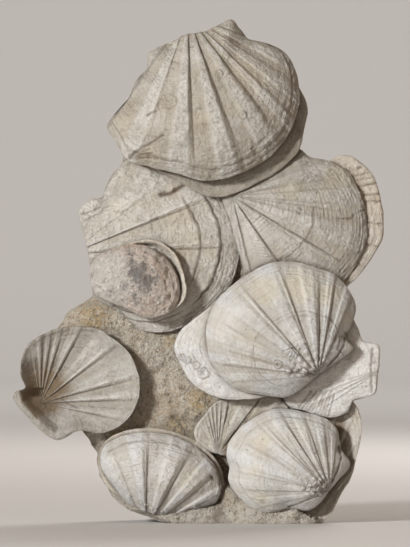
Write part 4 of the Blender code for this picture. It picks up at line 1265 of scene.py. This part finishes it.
class Paint:
    """A chalky material in the making: its colour, laid on layer by layer, and its bumps."""

    def __init__(self, name):
        self.material = bpy.data.materials.new(name)
        self.material.use_nodes = True
        self.tree = self.material.node_tree
        self.shader = self.tree.nodes["Principled BSDF"]
        self.colour = None

    def join(self, value, socket):
        if isinstance(value, bpy.types.NodeSocket):
            self.tree.links.new(value, socket)
        else:
            socket.default_value = value

    def node(self, kind, inputs=(), **settings):
        """A node with its settings, its inputs set to values or joined to other nodes' outputs."""
        node = self.tree.nodes.new("ShaderNode" + kind)
        for key, value in settings.items():
            setattr(node, key, value)
        for key, value in dict(inputs).items():
            self.join(value, node.inputs[key])
        return node

    def ramp(self, source, stops):
        """A colour for each value of the source, from stops of place and colour."""
        node = self.node("ValToRGB", {"Fac": source})
        elements = node.color_ramp.elements
        for element, (place, colour) in zip(elements, stops):
            element.position = place
            element.color = (*colour, 1)
        for place, colour in stops[2:]:
            elements.new(place).color = (*colour, 1)
        return node.outputs["Color"]

    def line(self, source, stops):
        """A strength for each value of the source, from stops of place and strength."""
        return self.ramp(source, [(place, (strength,) * 3) for place, strength in stops])

    def maths(self, operation, first, second=0.0):
        return self.node("Math", {0: first, 1: second}, operation=operation).outputs[0]

    def times(self, first, second):
        return self.maths("MULTIPLY", first, second)

    def span(self, source, low, high, start=0.0, end=1.0):
        """Runs evenly from the start to the end while the source goes from low to high."""
        return self.node("MapRange", {"Value": source, "From Min": low, "From Max": high, "To Min": start,
                                      "To Max": end}).outputs["Result"]

    def attribute(self, name):
        return self.node("Attribute", attribute_name=name).outputs["Fac"]

    def where(self):
        return self.node("TexCoord").outputs["Object"]

    def moved(self, offset):
        """The place on the object, moved by an offset along each axis."""
        return self.node("VectorMath", {0: self.where(), 1: (offset,) * 3}, operation="ADD").outputs[0]

    def cloud(self, place, scale, detail, roughness):
        return self.node("TexNoise", {"Vector": place, "Scale": scale, "Detail": detail,
                                      "Roughness": roughness}).outputs["Fac"]

    def noise(self, scale, detail=4.0, roughness=0.55, offset=0.0):
        """Noise over the object, with this many cells to a metre."""
        return self.cloud(self.moved(offset), scale, detail, roughness)

    def valve_noise(self, across, along, detail=3.0):
        """Noise stretched over a valve: across scales the rib angle and along scales the reach."""
        place = self.node("CombineXYZ", {"X": self.times(self.attribute("rib_angle"), across),
                                         "Y": self.times(self.attribute("reach"), along)}).outputs[0]
        return self.cloud(place, 1.0, detail, 0.6)

    def cells(self, place, scale):
        """Distance from the middle of each cell of a scattered pattern, and a number for each cell."""
        node = self.node("TexVoronoi", {"Vector": place, "Scale": scale})
        number = self.node("SeparateColor", {"Color": node.outputs["Color"]}).outputs[0]
        return node.outputs["Distance"], number

    def lay(self, share, colour, blend="MIX"):
        """Lays a colour on, by its share."""
        mix = self.node("Mix", data_type="RGBA", blend_type=blend)
        for place, value in zip(MIX_INPUTS, (share, self.colour, (*colour, 1))):
            self.join(value, mix.inputs[place])
        self.colour = mix.outputs[MIX_OUTPUT]

    def stain(self, source, low, high, colour, strength):
        """Lays a colour on with this strength where the source is high, and not where it is low."""
        self.lay(self.span(source, low, high, 0.0, strength), colour)

    def finished(self, heights, dull=0.82, dullest=0.97):
        """The material, with bump heights of given sizes in metres and an uneven dull surface."""
        self.join(self.colour, self.shader.inputs["Base Color"])
        roughness = self.span(self.noise(CHALK_GRAIN), 0.3, 0.7, dull, dullest)
        self.join(roughness, self.shader.inputs["Roughness"])
        self.join(CHALK_SHINE, self.shader.inputs["Specular IOR Level"])
        below = {}
        for height, size in heights:
            bump = self.node("Bump", {"Height": height, "Strength": 1.0, "Distance": size, **below})
            below = {"Normal": bump.outputs["Normal"]}
        self.join(below["Normal"], self.shader.inputs["Normal"])
        return self.material


def rib_lines(paint, valve, places, half):
    """A thin broken line along each rib angle, fainter near the margin; it draws both the painted shade
    along the grooves and the painted highlight beside them.
    """
    low, high = valve.grooves[0] - LINE_ROOM, valve.grooves[-1] + LINE_ROOM
    stops = []
    for angle, strength in zip(places, valve.groove_strengths):
        for shift, level in ((-half, 0.0), (0.0, strength), (half, 0.0)):
            stops.append(((angle + shift - low) / (high - low), level))
    line = paint.line(paint.span(paint.attribute("rib_angle"), low, high), stops)
    broken = paint.span(paint.valve_noise(0.2, 6.0), 0.25, 0.52)
    kept = paint.span(paint.attribute("reach"), 0.68, 1.0, 1.0, 0.0)
    return paint.times(paint.times(line, broken), kept)


def ridge_angles(valve):
    """Where the painted highlight on the thin ridge beside each groove lies: on the side that faces the
    light, up and left.
    """
    turn = np.radians(valve.grooves)
    faces = np.cos(turn) * LIT_SIDE[0] + np.sin(turn) * LIT_SIDE[1]
    return valve.grooves + valve.ridge[0] * np.sign(faces)


def pits_of(paint, offset):
    """Small scattered round pits: 1 in a pit."""
    distance, number = paint.cells(paint.moved(offset), 380.0)
    return paint.times(paint.span(distance, 0.10, 0.30, 1.0, 0.0), paint.span(number, 0.92, 1.0))


def step_lines(paint, valve):
    """A thin painted shadow line at the foot of each growth step."""
    stops = []
    for place, drop in valve.steps:
        foot = place + STEP_LENGTH
        strength = min(1.0, 0.5 * drop)
        stops += [(place + STEP_LINE_START, 0.0), (foot, strength), (foot + STEP_LINE_FADE, 0.0)]
    broken = paint.span(paint.valve_noise(0.12, 3.0), 0.3, 0.5)
    seen = paint.times(broken, paint.attribute("step_share"))
    return paint.times(paint.line(paint.attribute("ragged_reach"), stops), seen)


def layer_lines(paint):
    """Thin broken lines at the edges of the growth layers."""
    edge = paint.maths("FRACT", paint.attribute("layer"))
    line = paint.line(edge, [(0.0, 0.0), (0.72, 0.0), (0.88, 1.0), (1.0, 0.0)])
    return paint.times(line, paint.span(paint.valve_noise(0.045, 5.0, 4.0), 0.40, 0.62))


def shell_colours(paint, valve, offset):
    """The valve's ground colours: cream and pale, browner between the ribs, with blotches and specks."""
    grit = valve.grit
    broad = paint.noise(16.0, 5.0, 0.6, offset)
    paint.colour = paint.ramp(broad, [(0.38, SHELL_CREAM), (0.58, SHELL_PALE)])
    paint.stain(paint.noise(24.0, 4.0, 0.55, offset + 9.0), 0.48, 0.62, SHELL_LILAC, 0.65)
    paint.stain(paint.attribute("crest"), 0.3, 1.0, SHELL_CREST, 0.35)
    low_ground = paint.span(paint.attribute("crest"), 0.1, 0.8, valve.feet, 0.0)
    uneven = paint.span(paint.noise(30.0, 5.0, 0.6, offset + 14.0), 0.2, 0.5)
    paint.lay(paint.times(low_ground, uneven), SHELL_FOOT)
    paint.stain(paint.valve_noise(0.45, 2.5), 0.5, 0.75, SHELL_TAN, 0.25)
    paint.stain(paint.valve_noise(0.02, 26.0, 5.0), 0.5, 0.72, SHELL_TAN, 0.35)
    paint.stain(paint.noise(46.0, 6.0, 0.68, offset + 3.0), 0.48, 0.66, SHELL_SHADE, 0.38 * grit)
    paint.stain(paint.noise(75.0, 6.0, 0.7, offset + 31.0), 0.52, 0.70, SHELL_PALE, 0.6)
    paint.stain(paint.noise(13.0, 5.0, 0.6, offset + 21.0), 0.57, 0.72, OCHRE, 0.3)
    paint.stain(paint.noise(170.0, 5.0, 0.7, offset + 40.0), 0.5, 0.68, SHELL_TAN, 0.32 * grit)
    paint.stain(paint.noise(560.0, 3.0, 0.6, offset), 0.52, 0.68, SHELL_SHADE, 0.45 * grit)
    # Brightness and tint: own whiteness, with painted shade and painted light that deepen or lift a valve's
    # shading
    paint.lay(1.0, [valve.bright * part for part in valve.tint], "MULTIPLY")


def shell_material(valve):
    paint = Paint(valve.name + "_shell")
    offset = valve.level * NOISE_SHIFT
    shell_colours(paint, valve, offset)
    if valve.creams:
        paint.lay(paint.times(paint.attribute("cream"), 0.6), PATCH_CREAM)
    # Pale patches: some worn, some painted light on lit faces
    if valve.pale_and_lit_patches:
        paint.lay(paint.times(paint.attribute("pale"), 0.8), PATCH_PALE_AND_LIT)
    # Painted shade in grooves, cracks and marks, on the edge and back, and beside the valves above
    paint.lay(paint.times(paint.attribute("painted_shade"), paint.span(paint.noise(90.0), 0.1, 0.5)), PAINTED_SHADE_BROWN)
    # Brown stains, and painted shade in hollows and recesses
    if valve.stains_and_shade:
        paint.lay(paint.attribute("stain"), STAIN_AND_SHADE_BROWN)
    heights = [
        (paint.valve_noise(1.1, 5.0, 3.0), 0.0002),
        (paint.valve_noise(0.05, 75.0, 4.0), 0.0008),
        (paint.noise(130.0, 5.0, 0.6), 0.0012 * valve.grit),
        (paint.noise(430.0, 5.0, 0.7), 0.0013 * valve.grit),
    ]
    # Pits painted dark as shade, and darker edges of the growth layers
    drawn = [(pits_of(paint, offset), 0.35, PAINTED_SHADE_BROWN, -0.0008),
             (layer_lines(paint), valve.layer_shade, LAYER_BROWN, -0.0003)]
    # A painted shadow line at the foot of each growth step
    if valve.steps:
        drawn.append((step_lines(paint, valve), 0.85, PAINTED_SHADE_BROWN, -0.0005))
    # Painted highlight on the thin ridge beside each groove, on the side the light comes from, and painted
    # shade along each groove
    if len(valve.grooves) > 1:
        ridge_highlights = rib_lines(paint, valve, ridge_angles(valve), valve.ridge[1])
        drawn.append((ridge_highlights, 0.95, PAINTED_HIGHLIGHT, 0.0016))
        drawn.append((rib_lines(paint, valve, valve.grooves, LINE_HALF), 0.8, PAINTED_SHADE_BROWN, -0.0006))
    for line, share, colour, size in drawn:
        paint.lay(paint.times(line, share), colour)
        heights.append((line, size))
    return paint.finished(heights)


def near_spot(paint, spot, radius):
    """Distance from a spot on the oyster, as a share of the radius."""
    x, z = front_view(spot) * METRES
    away = paint.node("VectorMath", {0: paint.where(), 1: (x, -OYSTER_DEPTH, z)}, operation="DISTANCE")
    return paint.maths("DIVIDE", away.outputs["Value"], radius)


def oyster_material():
    paint = Paint("fossil_oyster")
    sheets = paint.valve_noise(0.03, 12.0, 5.0)
    paint.colour = paint.ramp(sheets, [(0.38, OYSTER_ROSE), (0.62, OYSTER_WHITE)])
    paint.stain(paint.noise(34.0, 6.0, 0.7, 5.0), 0.42, 0.62, OYSTER_PATCH, 0.7)
    left_side = near_spot(paint, PALE_SIDE, PALE_SIDE_RADIUS)
    paint.lay(paint.span(left_side, 0.6, 1.3, 0.75, 0.0), OYSTER_PALE)
    ragged = paint.times(paint.noise(60.0, 8.0, 0.85), 5.0)
    ragged = paint.maths("ADD", near_spot(paint, GREY_PATCH, GREY_PATCH_RADIUS), ragged)
    paint.lay(paint.span(ragged, 2.8, 3.05, 0.74, 0.0), OYSTER_GREY)
    paint.stain(paint.noise(420.0, 4.0, 0.7, 3.0), 0.52, 0.66, OYSTER_SPECK, 0.6)
    # Painted shade in crevices, on the edge and back, and beside the valves above
    paint.lay(paint.times(paint.attribute("painted_shade"), 0.7), PAINTED_SHADE_BROWN)
    return paint.finished([
        (paint.valve_noise(0.08, 34.0, 5.0), 0.0025),
        (paint.noise(150.0, 6.0, 0.75), 0.0045),
        (paint.noise(380.0, 6.0, 0.75), 0.0042),
    ])


def matrix_material():
    paint = Paint("sandy_matrix")
    paint.colour = paint.ramp(paint.noise(20.0, 6.0, 0.62), [(0.33, STONE_TAN), (0.62, STONE_CREAM)])
    paint.stain(paint.noise(18.0, 5.0, 0.6, 8.0), 0.5, 0.68, OCHRE, 0.35)
    uneven = paint.span(paint.noise(60.0, 5.0, 0.65, 2.0), 0.28, 0.52)
    paint.lay(paint.times(paint.attribute("ochre"), uneven), STONE_OCHRE)
    # Pale sawn base and pale patches, two of them painted light on shaded stone
    paint.lay(paint.times(paint.attribute("sawn"), 0.7), STONE_PALE_AND_LIT)
    paint.stain(paint.noise(85.0, 5.0, 0.65, 12.0), 0.52, 0.66, STONE_BLOTCH, 0.45)
    grain_distance, grain = paint.cells(paint.where(), 560.0)
    paint.stain(grain, 0.5, 0.9, STONE_GRAIN, 0.65)
    paint.stain(paint.noise(330.0, 4.0, 0.7, 15.0), 0.53, 0.66, STONE_SPECK, 0.6)
    crumbs = paint.noise(210.0, 6.0, 0.75, 6.0)
    paint.lay(paint.span(crumbs, 0.35, 0.45, 0.8, 0.0), STONE_CRUMB)
    # Painted shade beside the valves and in the crack
    paint.lay(paint.times(paint.attribute("painted_shade"), 0.35), PAINTED_SHADE_BROWN)
    return paint.finished([
        (paint.noise(120.0, 6.0, 0.7), 0.0100),
        (crumbs, 0.0095),
        (paint.noise(380.0, 5.0, 0.7, 4.0), 0.0060),
        (grain_distance, 0.0010),
    ], 0.88, 1.0)


# The stage, in metres
VIEW_DISTANCE = 5.0
SENSOR = 36.0
SHELL_DEPTH = 0.045
FLOOR_FRONT = -9.0
FLOOR_HALF_WIDTH = 9.0
BACKDROP = 7.6
BACKDROP_HEIGHT = 6.0
BEND = 1.2
BEND_STEPS = 16


def camera():
    x, z = front_view((VIEW_SIZE[0] / 2, VIEW_SIZE[1] / 2)) * METRES
    data = bpy.data.cameras.new("view")
    data.sensor_width = SENSOR
    data.lens = SENSOR * VIEW_DISTANCE / (VIEW_SIZE[1] * PIXEL * METRES)
    thing = placed("view", data)
    thing.location = (x, -VIEW_DISTANCE - SHELL_DEPTH, z)
    thing.rotation_euler = (math.pi / 2, 0, 0)
    bpy.context.scene.camera = thing


def area_light(name, place, target, size, power, colour):
    data = bpy.data.lights.new(name, "AREA")
    data.shape = "DISK"
    data.size = size
    data.energy = power
    data.color = colour
    thing = placed(name, data)
    thing.location = place
    thing.rotation_euler = (Vector(target) - Vector(place)).to_track_quat("-Z", "Y").to_euler()


def lights():
    middle = (-0.03, 0.0, 0.2)
    area_light("key", (-1.45, -1.90, 0.86), middle, 0.38, 60, (1.0, 1.0, 0.985))
    area_light("fill", (1.6, -2.2, 0.9), middle, 1.6, 4, (1.0, 0.80, 0.60))
    area_light("rear", (0.9, 2.0, 1.6), middle, 1.4, 34, (1.0, 0.97, 0.93))
    area_light("backdrop", (0.0, 3.4, 5.4), (0.0, 7.2, 2.9), 3.0, 230, (1.0, 1.0, 1.0))
    world = bpy.data.worlds.new("studio")
    world.use_nodes = True
    background = world.node_tree.nodes["Background"]
    background.inputs["Color"].default_value = (1.0, 0.70, 0.46, 1)
    background.inputs["Strength"].default_value = 0.17
    bpy.context.scene.world = world


def floor():
    """A pale floor that curves up into a backdrop far behind."""
    profile = [(FLOOR_FRONT, 0.0), (BACKDROP - BEND, 0.0)]
    for k in range(1, BEND_STEPS + 1):
        turn = math.pi / 2 * k / BEND_STEPS
        profile.append((BACKDROP - BEND + BEND * math.sin(turn), BEND - BEND * math.cos(turn)))
    profile.append((BACKDROP, BACKDROP_HEIGHT))
    mesh = bpy.data.meshes.new("floor")
    points = [(x, y, z) for y, z in profile for x in (-FLOOR_HALF_WIDTH, FLOOR_HALF_WIDTH)]
    faces = [(2 * k, 2 * k + 1, 2 * k + 3, 2 * k + 2) for k in range(len(profile) - 1)]
    mesh.from_pydata(points, [], faces)
    mesh.shade_smooth()
    paint = Paint("pale_floor")
    paint.join((0.62, 0.61, 0.60, 1), paint.shader.inputs["Base Color"])
    paint.join(0.9, paint.shader.inputs["Roughness"])
    mesh.materials.append(paint.material)
    thing = placed("floor", mesh)


def main():
    oyster = oyster_material()
    for valve in VALVES:
        valve_piece(valve, oyster if valve is OYSTER else shell_material(valve))
    matrix_piece(matrix_material())
    camera()
    lights()
    floor()
    bpy.context.scene.view_settings.view_transform = "Standard"


main()
